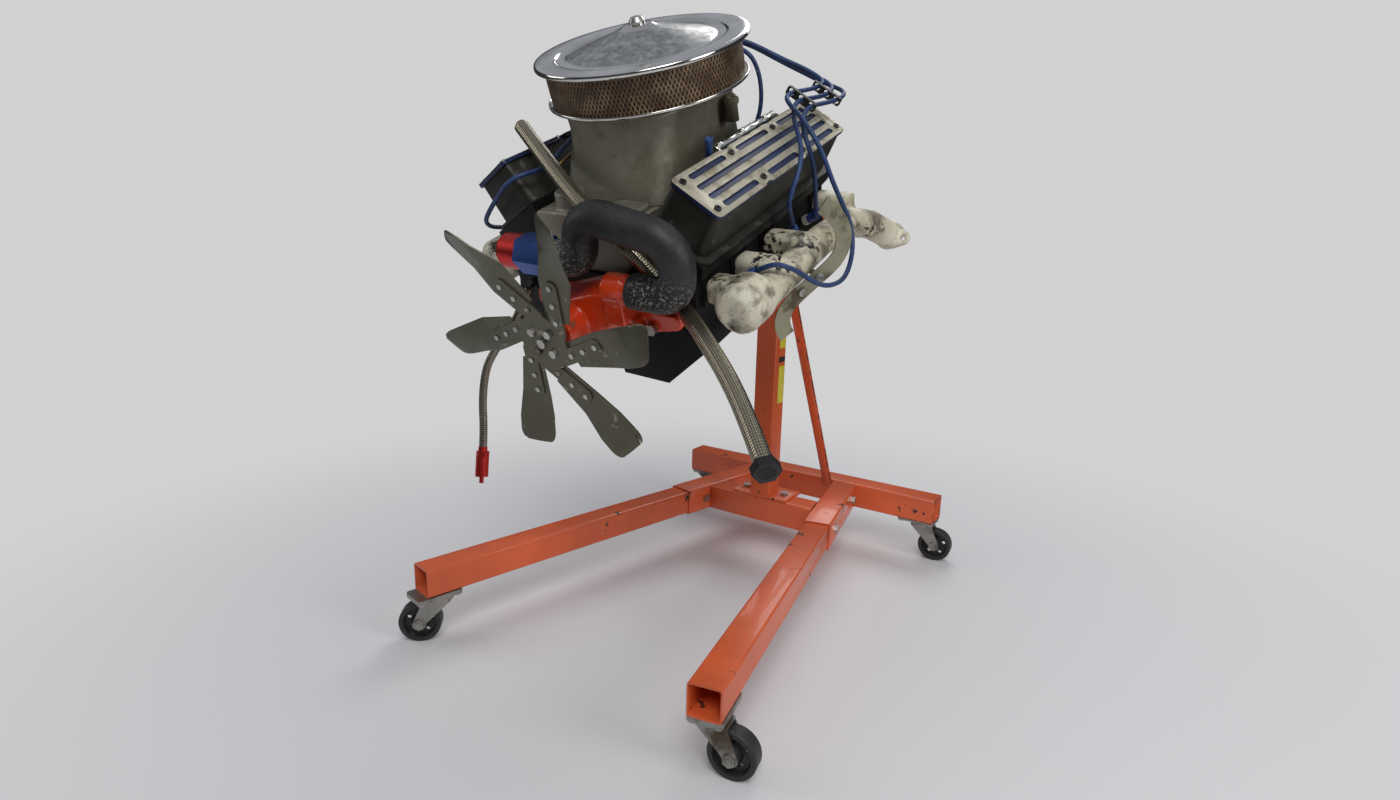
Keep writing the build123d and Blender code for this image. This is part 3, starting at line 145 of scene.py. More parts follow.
def set_or_link(tree, socket, value):
    """Links another node's socket, or sets a number or an opaque colour."""
    if isinstance(value, bpy.types.NodeSocket):
        tree.links.new(value, socket)
    elif isinstance(value, tuple):
        socket.default_value = (*value, 1.0)
    else:
        socket.default_value = value


def math_node(tree, operation, first, second=None, third=None, clamp=False):
    """One sum on sockets or numbers; returns its output socket."""
    made = node(tree, "ShaderNodeMath", operation=operation, use_clamp=clamp)
    for socket, value in zip(made.inputs, (first, second, third)):
        if value is not None:
            set_or_link(tree, socket, value)
    return made.outputs[0]


def scale_add(tree, value, factor, offset, clamp=False):
    """value * factor + offset; clamp keeps the result from 0 to 1."""
    return math_node(tree, "MULTIPLY_ADD", value, factor, offset, clamp)


def wave(tree, turns, turn=math.tau):
    """sin(turns * turn)."""
    return math_node(tree, "SINE", math_node(tree, "MULTIPLY", turns, turn))


# %% Noise and smooth steps
def noise(tree, scale, detail, rough=0.55):
    """Fractal noise of the piece's Object coordinates; scale, per metre, may be a socket."""
    made = node(tree, "ShaderNodeTexNoise")
    place = node(tree, "ShaderNodeTexCoord").outputs["Object"]
    for key, value in (("Vector", place), ("Scale", scale), ("Detail", detail),
                       ("Roughness", rough)):
        set_or_link(tree, made.inputs[key], value)
    return made.outputs["Fac"]


def smooth_step(tree, value, low, high):
    """0 at low, 1 at high, 3 t^2 - 2 t^3 at the share t between; low may be the larger."""
    made = node(tree, "ShaderNodeMapRange", interpolation_type="SMOOTHSTEP")
    for key, given in (("Value", value), ("From Min", low), ("From Max", high)):
        set_or_link(tree, made.inputs[key], given)
    return made.outputs["Result"]


def clouds(tree, scale, detail, low, high, rough=0.55):
    """Soft clouds: noise, stepped smoothly from low to high."""
    return smooth_step(tree, noise(tree, scale, detail, rough), low, high)


def own_uv(tree):
    """The piece's own UV map as two sockets, x and y."""
    split = node(tree, "ShaderNodeSeparateXYZ")
    tree.links.new(node(tree, "ShaderNodeUVMap").outputs["UV"], split.inputs[0])
    return split.outputs["X"], split.outputs["Y"]


# %% Colour, relief and the shader
def blend_colour(tree, mask, first, second):
    """(1 - mask) * first + mask * second, each a socket or given outright."""
    made = node(tree, "ShaderNodeMix", data_type="RGBA")
    set_or_link(tree, made.inputs[0], mask)
    colours = [socket for socket in made.inputs if socket.type == "RGBA"]
    for socket, value in zip(colours, (first, second)):
        set_or_link(tree, socket, value)
    return [socket for socket in made.outputs if socket.type == "RGBA"][0]


def bump(tree, height, distance):
    """Relief in which a height of 1 stands distance metres proud; returns the normal."""
    made = node(tree, "ShaderNodeBump")
    made.inputs["Distance"].default_value = distance
    tree.links.new(height, made.inputs["Height"])
    return made.outputs["Normal"]


def material(name):
    """New material, its node tree and its Principled shader."""
    made = bpy.data.materials.new(name)
    made.use_nodes = True
    return made, made.node_tree, made.node_tree.nodes["Principled BSDF"]


def feed(tree, shader, **values):
    """Sets or links the shader's inputs by name, with underscores for spaces."""
    for key, value in values.items():
        set_or_link(tree, shader.inputs[key.replace("_", " ")], value)


# %% [markdown]
# ## Masks that the finishes share
# Chips, stains and settled dirt come back on nearly every piece of a used engine. They could be
# painted by hand, one picture for each piece. Two node groups do it for all pieces at once: each
# is built here, and a finish then places it with its own fineness and amount.

# %% Masks
def mask_group(name, **inputs):
    """Node group with float inputs and one output; returns the tree, its inputs and Mask."""
    tree = bpy.data.node_groups.new(name, "ShaderNodeTree")
    for label, default in inputs.items():
        socket = tree.interface.new_socket(label, in_out="INPUT", socket_type="NodeSocketFloat")
        socket.default_value = default
    tree.interface.new_socket("Mask", in_out="OUTPUT", socket_type="NodeSocketFloat")
    given = node(tree, "NodeGroupInput", (-900, 0)).outputs
    return tree, given, node(tree, "NodeGroupOutput", (900, 0)).inputs["Mask"]


def make_patches():
    """Irregular spots: noise, stepped within Edge of 0.67 - 0.34 Cover."""
    tree, given, mask = mask_group("Patches", Scale=20.0, Cover=0.3, Edge=0.04)
    middle = scale_add(tree, given["Cover"], -0.34, 0.67)
    low = math_node(tree, "SUBTRACT", middle, given["Edge"])
    high = math_node(tree, "ADD", middle, given["Edge"])
    tree.links.new(clouds(tree, given["Scale"], 7.0, low, high, rough=0.62), mask)
    return tree


def make_settled():
    """Settled dirt: Amount * (0.5 + 0.5 * the normal's z) * clouds."""
    tree, given, mask = mask_group("Settled", Scale=8.0, Amount=0.5)
    split = node(tree, "ShaderNodeSeparateXYZ")
    tree.links.new(node(tree, "ShaderNodeNewGeometry").outputs["Normal"], split.inputs[0])
    upward = scale_add(tree, split.outputs["Z"], 0.5, 0.5, clamp=True)
    lying = math_node(tree, "MULTIPLY", upward, clouds(tree, given["Scale"], 6.0, 0.3, 0.75))
    tree.links.new(math_node(tree, "MULTIPLY", lying, given["Amount"], clamp=True), mask)
    return tree


def use(tree, shared, **values):
    """Places a shared mask with its own values; returns the mask's socket."""
    made = node(tree, "ShaderNodeGroup", node_tree=shared)
    for key, value in values.items():
        made.inputs[key].default_value = value
    return made.outputs[0]


patches = make_patches()
settled = make_settled()
print("shared masks:", patches.name, "and", settled.name)

# %% [markdown]
# ## Paint
# The stand's enamel, the block's black and the pump's red wear alike: small chips show the layer
# below, dirt lies on upward faces, and a fine grain breaks the gloss. One flat colour would look
# like plastic, and a picture for each piece would be a lot of work. This function builds every
# paint from the two masks, so that a new one is a line: its colour, the colour in its chips, and
# how worn it is.

# %% Paint
def painted(name, colour, worn, dirt=(0.05, 0.045, 0.035), rough=0.35, chips=0.12,
            chip_scale=30.0, dust=0.35, grain=0.0004, grain_scale=300.0, metal=0.0, coat=0.0,
            shine=0.5):
    """Paint clouded from 0.8 to 1.12 of its colour, then settled dirt, then chips down to worn.

    Height = 0.5 * fine noise - 0.4 * chips; roughness = rough + 0.3 * dirt + 0.25 * chips.
    """
    made, tree, shader = material(name)
    chipped = use(tree, patches, Scale=chip_scale, Cover=chips, Edge=0.012)
    dirty = use(tree, settled, Scale=9.0, Amount=dust)
    dark, light = (tuple(min(1.0, part * level) for part in colour) for level in (0.8, 1.12))
    body = blend_colour(tree, clouds(tree, 5.0, 5.0, 0.25, 0.75), dark, light)
    fine = math_node(tree, "MULTIPLY", noise(tree, grain_scale, detail=3.0), 0.5)
    roughness = scale_add(tree, dirty, 0.3, rough, clamp=True)
    stained = blend_colour(tree, dirty, body, dirt)
    feed(tree, shader, Base_Color=blend_colour(tree, chipped, stained, worn),
         Roughness=scale_add(tree, chipped, 0.25, roughness, clamp=True),
         Normal=bump(tree, scale_add(tree, chipped, -0.4, fine), grain),
         Metallic=metal, Coat_Weight=coat, Specular_IOR_Level=shine)
    return made


orange = painted("stand_orange", (0.74, 0.125, 0.035), (0.05, 0.025, 0.02), rough=0.32,
                 chips=0.02, chip_scale=20.0, dust=0.3, dirt=(0.25, 0.06, 0.03), grain=0.0002,
                 coat=0.2)
orange_edge = painted("stand_orange_edge", (0.62, 0.1, 0.03), (0.03, 0.018, 0.015), rough=0.4,
                      chips=0.55, chip_scale=34.0, dust=0.4, dirt=(0.2, 0.05, 0.03), grain=0.0003)
wheel_black = painted("wheel_black", (0.022, 0.022, 0.023), (0.07, 0.065, 0.06), rough=0.5,
                      dust=0.5)
block_black = painted("block_black", (0.003, 0.003, 0.0035), (0.022, 0.02, 0.017), rough=0.5,
                      chips=0.1, dust=0.15, grain=0.0009, grain_scale=160.0, shine=0.2)
cover_dark = painted("cover_dark", (0.02, 0.019, 0.015), (0.08, 0.076, 0.058),
                     dirt=(0.12, 0.11, 0.08), rough=0.4, chips=0.1, dust=0.4, grain=0.0008,
                     grain_scale=140.0, metal=0.2, shine=0.35)
pump_paint = painted("pump_red", (0.86, 0.062, 0.01), (0.3, 0.08, 0.04), dirt=(0.09, 0.02, 0.012),
                     rough=0.26, chips=0.06, dust=0.35, grain=0.0009, grain_scale=90.0, coat=0.5)
fan_paint = painted("fan_olive", (0.12, 0.115, 0.08), (0.3, 0.28, 0.23), dirt=(0.17, 0.15, 0.11),
                    rough=0.3, chips=0.1, chip_scale=38.0, dust=0.35, grain=0.0003, metal=0.6)
black_steel = painted("black_steel", (0.03, 0.03, 0.032), (0.3, 0.29, 0.27), rough=0.35, chips=0.1,
                      metal=0.7)
moulded_black = painted("moulded_black", (0.02, 0.02, 0.022), (0.08, 0.08, 0.08), rough=0.4,
                        dust=0.3)
ceramic = painted("plug_body", (0.5, 0.49, 0.45), (0.3, 0.27, 0.22), rough=0.3)
# Near-black: the post strip's own colour, and painted shade over the large hose's open bores.
black_and_bore_shade = painted("black_and_bore_shade", (0.012, 0.011, 0.01), (0.03, 0.028, 0.025), rough=0.8)
sticker_yellow = painted("sticker_yellow", (0.78, 0.66, 0.03), (0.5, 0.42, 0.1),
                         dirt=(0.3, 0.24, 0.1), rough=0.35, chips=0.06, dust=0.3)
print("paints:", len(bpy.data.materials) - cad_materials)

# %% [markdown]
# ## Bare metal
# Zinc, steel, brass, coloured fittings and the chrome of the air cleaner are bare or thinly
# coated metal. What makes them real is unevenness: stained spots are darker, rougher and a little
# less metallic. A clean metal shader with one roughness would look new. The stains come from the
# same spots as the paint's chips, with softer edges.

# %% Bare metal
def metal(name, colour, stain=(0.12, 0.09, 0.06), rough=0.3, stains=0.2, stain_scale=14.0,
          grain=0.0001, grain_scale=500.0, spread=0.25):
    """Metal clouded from 0.82 to 1 of its colour, with stained spots and a fine grain.

    Roughness = rough + spread * stains + 0.12 * grain; metallic = 1 - 0.35 * stains.
    """
    made, tree, shader = material(name)
    tarnish = use(tree, patches, Scale=stain_scale, Cover=stains, Edge=0.09)
    body = blend_colour(tree, clouds(tree, 11.0, 6.0, 0.3, 0.7),
                        tuple(part * 0.82 for part in colour), colour)
    fine = noise(tree, grain_scale, detail=4.0)
    roughness = scale_add(tree, tarnish, spread, rough, clamp=True)
    feed(tree, shader, Base_Color=blend_colour(tree, tarnish, body, stain),
         Roughness=scale_add(tree, fine, 0.12, roughness, clamp=True),
         Metallic=scale_add(tree, tarnish, -0.35, 1.0), Normal=bump(tree, fine, grain))
    return made


zinc = metal("dull_zinc", (0.42, 0.41, 0.38), rough=0.42, stains=0.35)
bright = metal("bolt_steel", (0.55, 0.54, 0.5), rough=0.28, stains=0.2)
cast_alloy = metal("cast_alloy", (0.4, 0.385, 0.31), stain=(0.23, 0.205, 0.14), rough=0.5,
                   stains=0.3, stain_scale=7.0, grain=0.0007, grain_scale=160.0)
brass = metal("brass", (0.42, 0.27, 0.1), stain=(0.14, 0.08, 0.04), rough=0.3, stains=0.3)
anodised_blue = metal("anodised_blue", (0.06, 0.13, 0.42), stain=(0.05, 0.06, 0.2), rough=0.3,
                      stains=0.1)
anodised_red = metal("anodised_red", (0.7, 0.05, 0.045), stain=(0.3, 0.05, 0.03), rough=0.3,
                     stains=0.1)
shield_steel = metal("shield_steel", (0.36, 0.34, 0.24), stain=(0.12, 0.1, 0.06), rough=0.36,
                     stains=0.35, stain_scale=20.0, grain=0.00025, grain_scale=220.0)
chrome = metal("chrome", (0.76, 0.75, 0.7), stain=(0.4, 0.37, 0.3), rough=0.07, stains=0.06,
               spread=0.18, grain=0.00001)
print("paints and metals:", len(bpy.data.materials) - cad_materials)

# %% [markdown]
# ## Coated manifolds
# The cast iron exhausts carry a cream coating that has burnt brown in places and flaked off to
# black iron in small spots. A single mask of chips looks too even, because real flakes come in
# groups. So fine flakes are multiplied by larger spots, and the brown stains are a third mask of
# their own.

# %% Coated manifolds
def coated_iron():
    """Cream clouds, stained brown, with flakes = fine spots * large spots down to black.

    Height = 0.5 * clouds + 0.6 * fine noise - 0.6 * flakes; roughness = 0.5 + 0.2 * stains.
    """
    made, tree, shader = material("manifold_coating")
    cloud = clouds(tree, 7.0, 7.0, 0.3, 0.72, rough=0.6)
    stain = use(tree, patches, Scale=19.0, Cover=0.33, Edge=0.08)
    flaked = math_node(tree, "MULTIPLY", use(tree, patches, Scale=60.0, Cover=0.36, Edge=0.006),
                       use(tree, patches, Scale=11.0, Cover=0.42, Edge=0.05))
    body = blend_colour(tree, cloud, (0.46, 0.41, 0.28), (0.8, 0.76, 0.6))
    body = blend_colour(tree, math_node(tree, "MULTIPLY", stain, 0.85), body, (0.12, 0.1, 0.065))
    body = blend_colour(tree, flaked, body, (0.015, 0.013, 0.012))
    fine = math_node(tree, "MULTIPLY", noise(tree, 170.0, detail=5.0), 0.6)
    level = scale_add(tree, cloud, 0.5, scale_add(tree, flaked, -0.6, fine))
    feed(tree, shader, Base_Color=body, Normal=bump(tree, level, 0.0012),
         Roughness=scale_add(tree, stain, 0.2, 0.5))
    return made


coating = coated_iron()
print("made:", coating.name)

# %% [markdown]
# ## Slotted cover plates
# The plates on the valve covers were coated dark blue and then machined bare on top, so the slots
# and the sides keep the coating. The two colours could be given face by face. Here the shader
# finds the height above the machined face along the plate's normal, and a little noise lets the
# edge of the coating wander, as it does on the real plate.

# %% Slotted cover plates
cover_slope = math.radians(32.3)
plate_top = (216.4, -269.0, 361.3)


def slotted_plate(side):
    """Bare alloy at the top face, coating below it, by height = out . (point - top).

    In the engine's frame out = (side sin slope, 0, cos slope); side is 1 left and -1 right.
    """
    made, tree, shader = material("slotted_plate_" + ("left" if side > 0 else "right"))
    out = np.array([side * math.sin(cover_slope), 0.0, math.cos(cover_slope)]) @ engine_turn
    top = engine((side * plate_top[0], *plate_top[1:]))
    facing = node(tree, "ShaderNodeVectorMath", operation="DOT_PRODUCT")
    facing.inputs[1].default_value = tuple(out)
    tree.links.new(node(tree, "ShaderNodeTexCoord").outputs["Object"], facing.inputs[0])
    above = math_node(tree, "SUBTRACT", facing.outputs["Value"], float(out @ top))
    rub = math_node(tree, "MULTIPLY", noise(tree, 60.0, detail=4.0), 0.0006)
    bare = smooth_step(tree, math_node(tree, "ADD", above, rub), -0.0006, 0.0001)
    stain = use(tree, patches, Scale=24.0, Cover=0.3, Edge=0.08)
    alloy = blend_colour(tree, stain, (0.56, 0.52, 0.4), (0.3, 0.26, 0.17))
    blue = blend_colour(tree, clouds(tree, 22.0, 4.0, 0.3, 0.7), (0.005, 0.009, 0.035),
                        (0.01, 0.025, 0.09))
    feed(tree, shader, Base_Color=blend_colour(tree, bare, blue, alloy),
         Metallic=math_node(tree, "MULTIPLY", bare, 0.65),
         Roughness=scale_add(tree, bare, 0.1, 0.36),
         Normal=bump(tree, noise(tree, 300.0, detail=3.0), 0.0002))
    return made


print("cover plates slope", round(math.degrees(cover_slope), 1), "degrees")

# %% [markdown]
# ## Plated lid
# The air cleaner's lid is bright on its rim and knob ring and dull, crystalline zinc on its cone.
# Two objects could carry the two finishes, with a seam between them. The lid is one turned sheet,
# so the finish follows its UV map instead: y is the distance along the profile, in metres.

# %% Plated lid
cone_from, cone_to = (0.031, 0.035), (0.13, 0.122)


def plated_lid():
    """Dull clouds where the profile's distance is on the cone, bright plating elsewhere.

    Roughness = 0.38 - 0.1 * mottle on the cone, 0.13 - 0.06 * smear off it.
    """
    made, tree, shader = material("plated_lid")
    distance = own_uv(tree)[1]
    cone = math_node(tree, "MULTIPLY", smooth_step(tree, distance, *cone_from),
                     smooth_step(tree, distance, *cone_to))
    mottle = clouds(tree, 60.0, 8.0, 0.35, 0.68, rough=0.7)
    smear = clouds(tree, 14.0, 5.0, 0.3, 0.7)
    dull = blend_colour(tree, mottle, (0.3, 0.3, 0.29), (0.62, 0.62, 0.6))
    plated = blend_colour(tree, smear, (0.6, 0.59, 0.56), (0.8, 0.79, 0.76))
    roughness = node(tree, "ShaderNodeMix", data_type="FLOAT")
    for index, value in ((0, cone), (2, scale_add(tree, smear, -0.06, 0.13)),
                         (3, scale_add(tree, mottle, -0.1, 0.38))):
        tree.links.new(value, roughness.inputs[index])
    feed(tree, shader, Base_Color=blend_colour(tree, cone, plated, dull), Metallic=1.0,
         Roughness=roughness.outputs[0], Normal=bump(tree, mottle, 0.00005))
    return made


lid_chrome = plated_lid()
print("made:", lid_chrome.name)

# %% [markdown]
# ## Rubber and silicone
# The moulded hose is black rubber whose ends are speckled with pale dust. The wires and boots are
# blue silicone with a few specks. Specks could be small meshes, but they have no thickness to
# speak of, so a mask is enough. Round each end of the hose, the distance to a point decides how
# thick they lie.

# %% Rubber and silicone
def speckled_rubber(name, colour, speckle=0.1, ends=()):
    """Rubber clouded from its colour to 1.9 times it, under pale specks.

    With ends, pairs of a point and a reach, specks are multiplied by 0.04 + 0.9 * nearness, which
    is 0 at the reach and 1 at 0.45 of it.
    """
    made, tree, shader = material(name)
    if ends:
        place = node(tree, "ShaderNodeTexCoord").outputs["Object"]
        near = 0.0
        for spot, reach in ends:
            away = node(tree, "ShaderNodeVectorMath", operation="DISTANCE")
            away.inputs[1].default_value = spot
            tree.links.new(place, away.inputs[0])
            close = smooth_step(tree, away.outputs["Value"], reach, reach * 0.45)
            near = math_node(tree, "MAXIMUM", near, close)
        dots = math_node(tree, "MULTIPLY", use(tree, patches, Scale=240.0, Cover=0.3, Edge=0.03),
                         scale_add(tree, near, 0.9, 0.04))
    else:
        dots = use(tree, patches, Scale=330.0, Cover=speckle, Edge=0.02)
    body = blend_colour(tree, clouds(tree, 14.0, 5.0, 0.3, 0.75), colour,
                        tuple(part * 1.9 + 0.006 for part in colour))
    feed(tree, shader, Base_Color=blend_colour(tree, dots, body, (0.3, 0.29, 0.26)),
         Roughness=scale_add(tree, dots, 0.25, 0.5),
         Normal=bump(tree, noise(tree, 420.0, detail=4.0), 0.0004))
    return made


# Each end: a point on it and the reach of its specks, in metres.
hose_ends = ((tuple(engine((12, -558, 272))), 0.075), (tuple(engine((190, -558, 236))), 0.07))
hose_rubber = speckled_rubber("hose_rubber", (0.008, 0.009, 0.009), ends=hose_ends)
wire_blue = speckled_rubber("wire_blue", (0.009, 0.03, 0.1), speckle=0.03)
boot_blue = speckled_rubber("boot_blue", (0.012, 0.045, 0.17), speckle=0.05)
print("finishes so far:", len(bpy.data.materials) - cad_materials)

# %% [markdown]
# ## Woven braid
# Two hoses wear a sleeve of fine steel wire, woven over and under in diamonds. Modelling each
# strand takes tens of thousands of faces for something that is read as a texture. The curve that
# draws a hose has its own UV map, x along it and y round it, so two crossed waves on that map
# make the weave and follow every bend. Its colour is painted shade, dark in the weave's hollows
# between strands, and lengthwise ribs add relief and a painted sheen, lighter along their tops.

# %% Woven braid
def braided(name, light, dark, around, length, per_metre):
    """Weave = 0.5 + 0.5 sin(tau (y a + x b)) sin(tau (y a - x b)) + 0.18 sin(2 tau y a).

    a is the number of strands around and b the hose's length times its strands per metre.
    Colour runs from dark, painted shade in the weave's hollows, to light; the ribs' term is relief
    and a painted sheen.
    """
    made, tree, shader = material(name)
    share_along, share_around = own_uv(tree)
    turn = math_node(tree, "MULTIPLY", share_around, around)
    run = math_node(tree, "MULTIPLY", share_along, length * per_metre)
    crossed = math_node(tree, "MULTIPLY", wave(tree, math_node(tree, "ADD", turn, run)),
                        wave(tree, math_node(tree, "SUBTRACT", turn, run)))
    # Lengthwise ribs: relief, and a painted sheen where they lighten the colour.
    ribs_and_sheen = wave(tree, share_around, around * 2 * math.tau)
    weave = scale_add(tree, ribs_and_sheen, 0.18, scale_add(tree, crossed, 0.5, 0.5), clamp=True)
    # Dark in the weave's hollows is painted shade between strands; light on the ribs is painted
    # sheen.
    feed(tree, shader, Normal=bump(tree, weave, 0.0003), Metallic=0.9,
         Base_Color=blend_colour(tree, smooth_step(tree, weave, 0.1, 0.75), dark, light),
         Roughness=scale_add(tree, weave, -0.1, 0.3))
    return made


# Each braid: light strand colour, and a dark colour painted as shade in the weave's hollows.
braid_large = braided("braid_large", (0.46, 0.41, 0.3), (0.09, 0.075, 0.048), 12.0, 0.821, 130)
braid_small = braided("braid_small", (0.42, 0.38, 0.3), (0.08, 0.068, 0.048), 8.0, 0.313, 170)
print("made:", braid_large.name, "and", braid_small.name)

# %% [markdown]
# ## Filter mesh
# The air cleaner's element is a ring of dark pleats behind a brown wire mesh of small diamonds. A
# real mesh would be some ten thousand thin rods. On a turned ring the UV map already counts turns
# and height, so two sets of slanted waves draw the wires, and noise bends them slightly.

# %% Filter mesh
def filter_mesh():
    """Wires where |sin(pi (turn + rise))| or |sin(pi (turn - rise))| is small.

    turn = 150 * the share of the turn + 0.6 * noise; rise = 75 per metre of the profile.
    """
    made, tree, shader = material("filter_mesh")
    share, distance = own_uv(tree)
    turn = math_node(tree, "ADD", math_node(tree, "MULTIPLY", share, 150.0),
                     math_node(tree, "MULTIPLY", noise(tree, 35.0, detail=2.0), 0.6))
    rise = math_node(tree, "MULTIPLY", distance, 75.0)
    strands = [math_node(tree, "ABSOLUTE", wave(tree, math_node(tree, kind, turn, rise), math.pi))
               for kind in ("ADD", "SUBTRACT")]
    wire = smooth_step(tree, math_node(tree, "MINIMUM", *strands), 0.5, 0.28)
    strand = blend_colour(tree, clouds(tree, 45.0, 5.0, 0.35, 0.7), (0.2, 0.1, 0.045),
                          (0.46, 0.31, 0.16))
    feed(tree, shader, Base_Color=blend_colour(tree, wire, (0.012, 0.008, 0.006), strand),
         Roughness=0.5, Normal=bump(tree, wire, 0.0012),
         Metallic=math_node(tree, "MULTIPLY", wire, 0.55))
    return made


mesh_brown = filter_mesh()
print("all finishes but the plates':", len(bpy.data.materials) - cad_materials)

# %% [markdown]
# ## New meshes
# A new piece is a grid of points worked out with numpy, and two helpers make it an object: one
# builds the mesh, the other says which body it moves with and which CAD node it stands for. The
# pieces could be joined from Blender's primitives, but a grid gives exact sizes and a clean UV
# map.

# %% New meshes
weld_distance = 2e-6


def mesh_object(name, points, faces, surface, uv=None):
    """Smooth mesh at the origin from shared metres, faces and a UV for each face corner."""
    data = bpy.data.meshes.new(name)
    data.from_pydata(np.asarray(points).tolist(), [], np.asarray(faces).tolist())
    data.polygons.foreach_set("use_smooth", np.ones(len(data.polygons), bool))
    if uv is not None:
        layer = data.uv_layers.new(name="UVMap")
        layer.data.foreach_set("uv", np.asarray(uv, np.float32).ravel())
    work = bmesh.new()
    work.from_mesh(data)
    bmesh.ops.remove_doubles(work, verts=work.verts, dist=weld_distance)
    work.to_mesh(data)
    work.free()
    data.materials.append(surface)
    obj = bpy.data.objects.new(name, data)
    scene.collection.objects.link(obj)
    return obj


def place_piece(obj, body, slot_name, *nodes):
    """The piece rides on a body and hides the CAD nodes it stands for; slot_name is not used."""
    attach(obj, body)
    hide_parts(*nodes)
    return obj


# %% [markdown]
# ## Turned surfaces
# Boots, lids, rods and rims are round about an axis, as if they came off a lathe. Blender's Screw
# modifier could turn a drawn profile. Here one numpy grid holds the whole profile at every angle
# of the turn, which is exact, closes without a seam and gives a UV map in turns and metres.

# %% Turned surfaces
def lathe(origin, axis, profile, segments=96):
    """Surface turned round an axis: rows of (distance along, radius) in the units of origin.

    Point(i, j) = origin + axis t_i + r_i (u cos a_j + v sin a_j), a_j = 2 pi j / segments.
    Returns points, faces and UV per corner: (share of the turn, metres along the profile).
    """
    axis = np.asarray(axis, float) / np.linalg.norm(axis)
    first = np.cross(axis, [1.0, 0, 0] if abs(axis[0]) < 0.9 else [0, 1.0, 0])
    first = first / np.linalg.norm(first)
    second = np.cross(axis, first)
    profile = np.asarray(profile, float)
    turn = np.linspace(0, math.tau, segments, endpoint=False)
    ring = np.cos(turn)[:, None] * first + np.sin(turn)[:, None] * second
    points = (np.asarray(origin, float) + profile[:, 0, None, None] * axis
              + profile[:, 1, None, None] * ring)
    rows, columns = points.shape[:2]
    index = np.arange(rows * columns).reshape(rows, columns)
    after = np.roll(index, -1, axis=1)
    quads = np.stack([after[:-1], after[1:], index[1:], index[:-1]], -1).reshape(-1, 4)
    steps = np.linalg.norm(np.diff(profile, axis=0), axis=1)
    along = np.concatenate([[0], np.cumsum(steps)]) / 1000
    u, v = np.meshgrid(np.arange(columns) / columns, along)
    step = 1.0 / columns
    uv = np.stack([np.stack([u[:-1] + step, v[:-1]], -1), np.stack([u[:-1] + step, v[1:]], -1),
                   np.stack([u[:-1], v[1:]], -1), np.stack([u[:-1], v[:-1]], -1)], 2)
    return points.reshape(-1, 3), quads, uv.reshape(-1, 2)


def join(parts):
    """One set of points, faces and UV from several."""
    points, faces, uv, start = [], [], [], 0
    for some_points, some_faces, some_uv in parts:
        points.append(some_points)
        faces.append(some_faces + start)
        uv.append(some_uv)
        start += len(some_points)
    return np.concatenate(points), np.concatenate(faces), np.concatenate(uv)


def engine_piece(name, parts, surface):
    """One mesh from turned parts that are laid out in the engine's frame."""
    points, faces, uv = join(parts)
    return mesh_object(name, engine(points), faces, surface, uv)


print("faces in one turned band:", len(lathe((0, 0, 0), (0, 0, 1), ((0, 1), (1, 1)))[1]))


# %% [markdown]
# ## Plug wires
# Blue silicone wires run from the distributor cap's towers to the plugs, and a short lead runs to
# a sender. A wire could be a swept mesh, but a NURBS curve with a round bevel is lighter, stays
# smooth in every bend and can be measured. Each one follows the same points as its CAD tube.

# %% Wire curves
def cord_curve(name, points, radius):
    """NURBS tube of order three, pulled along by the points' polygon; radius in millimetres."""
    data = bpy.data.curves.new(name, "CURVE")
    data.dimensions = "3D"
    data.bevel_depth = radius / 1000
    data.bevel_resolution = 6
    data.resolution_u = 16
    data.use_fill_caps = True
    spline = data.splines.new("NURBS")
    spline.points.add(len(points) - 1)
    for target, place in zip(spline.points, engine(points)):
        target.co = (*place, 1.0)
    spline.order_u = 3
    spline.use_endpoint_u = True
    obj = bpy.data.objects.new(name, data)
    scene.collection.objects.link(obj)
    return obj


def curve_length(obj):
    """Length of a curve object's centreline as it is drawn, in metres."""
    return sum(spline.calc_length() for spline in obj.data.splines)


# %% Wire routes
wire_radius = 4.0
cap_centre = (0.0, -78.0)
tower_circle = 28.0
cap_boot_foot = 434.05
cap_boot_top = 442.05
sender_tower = 7
sender_foot = (96, -92, 312)
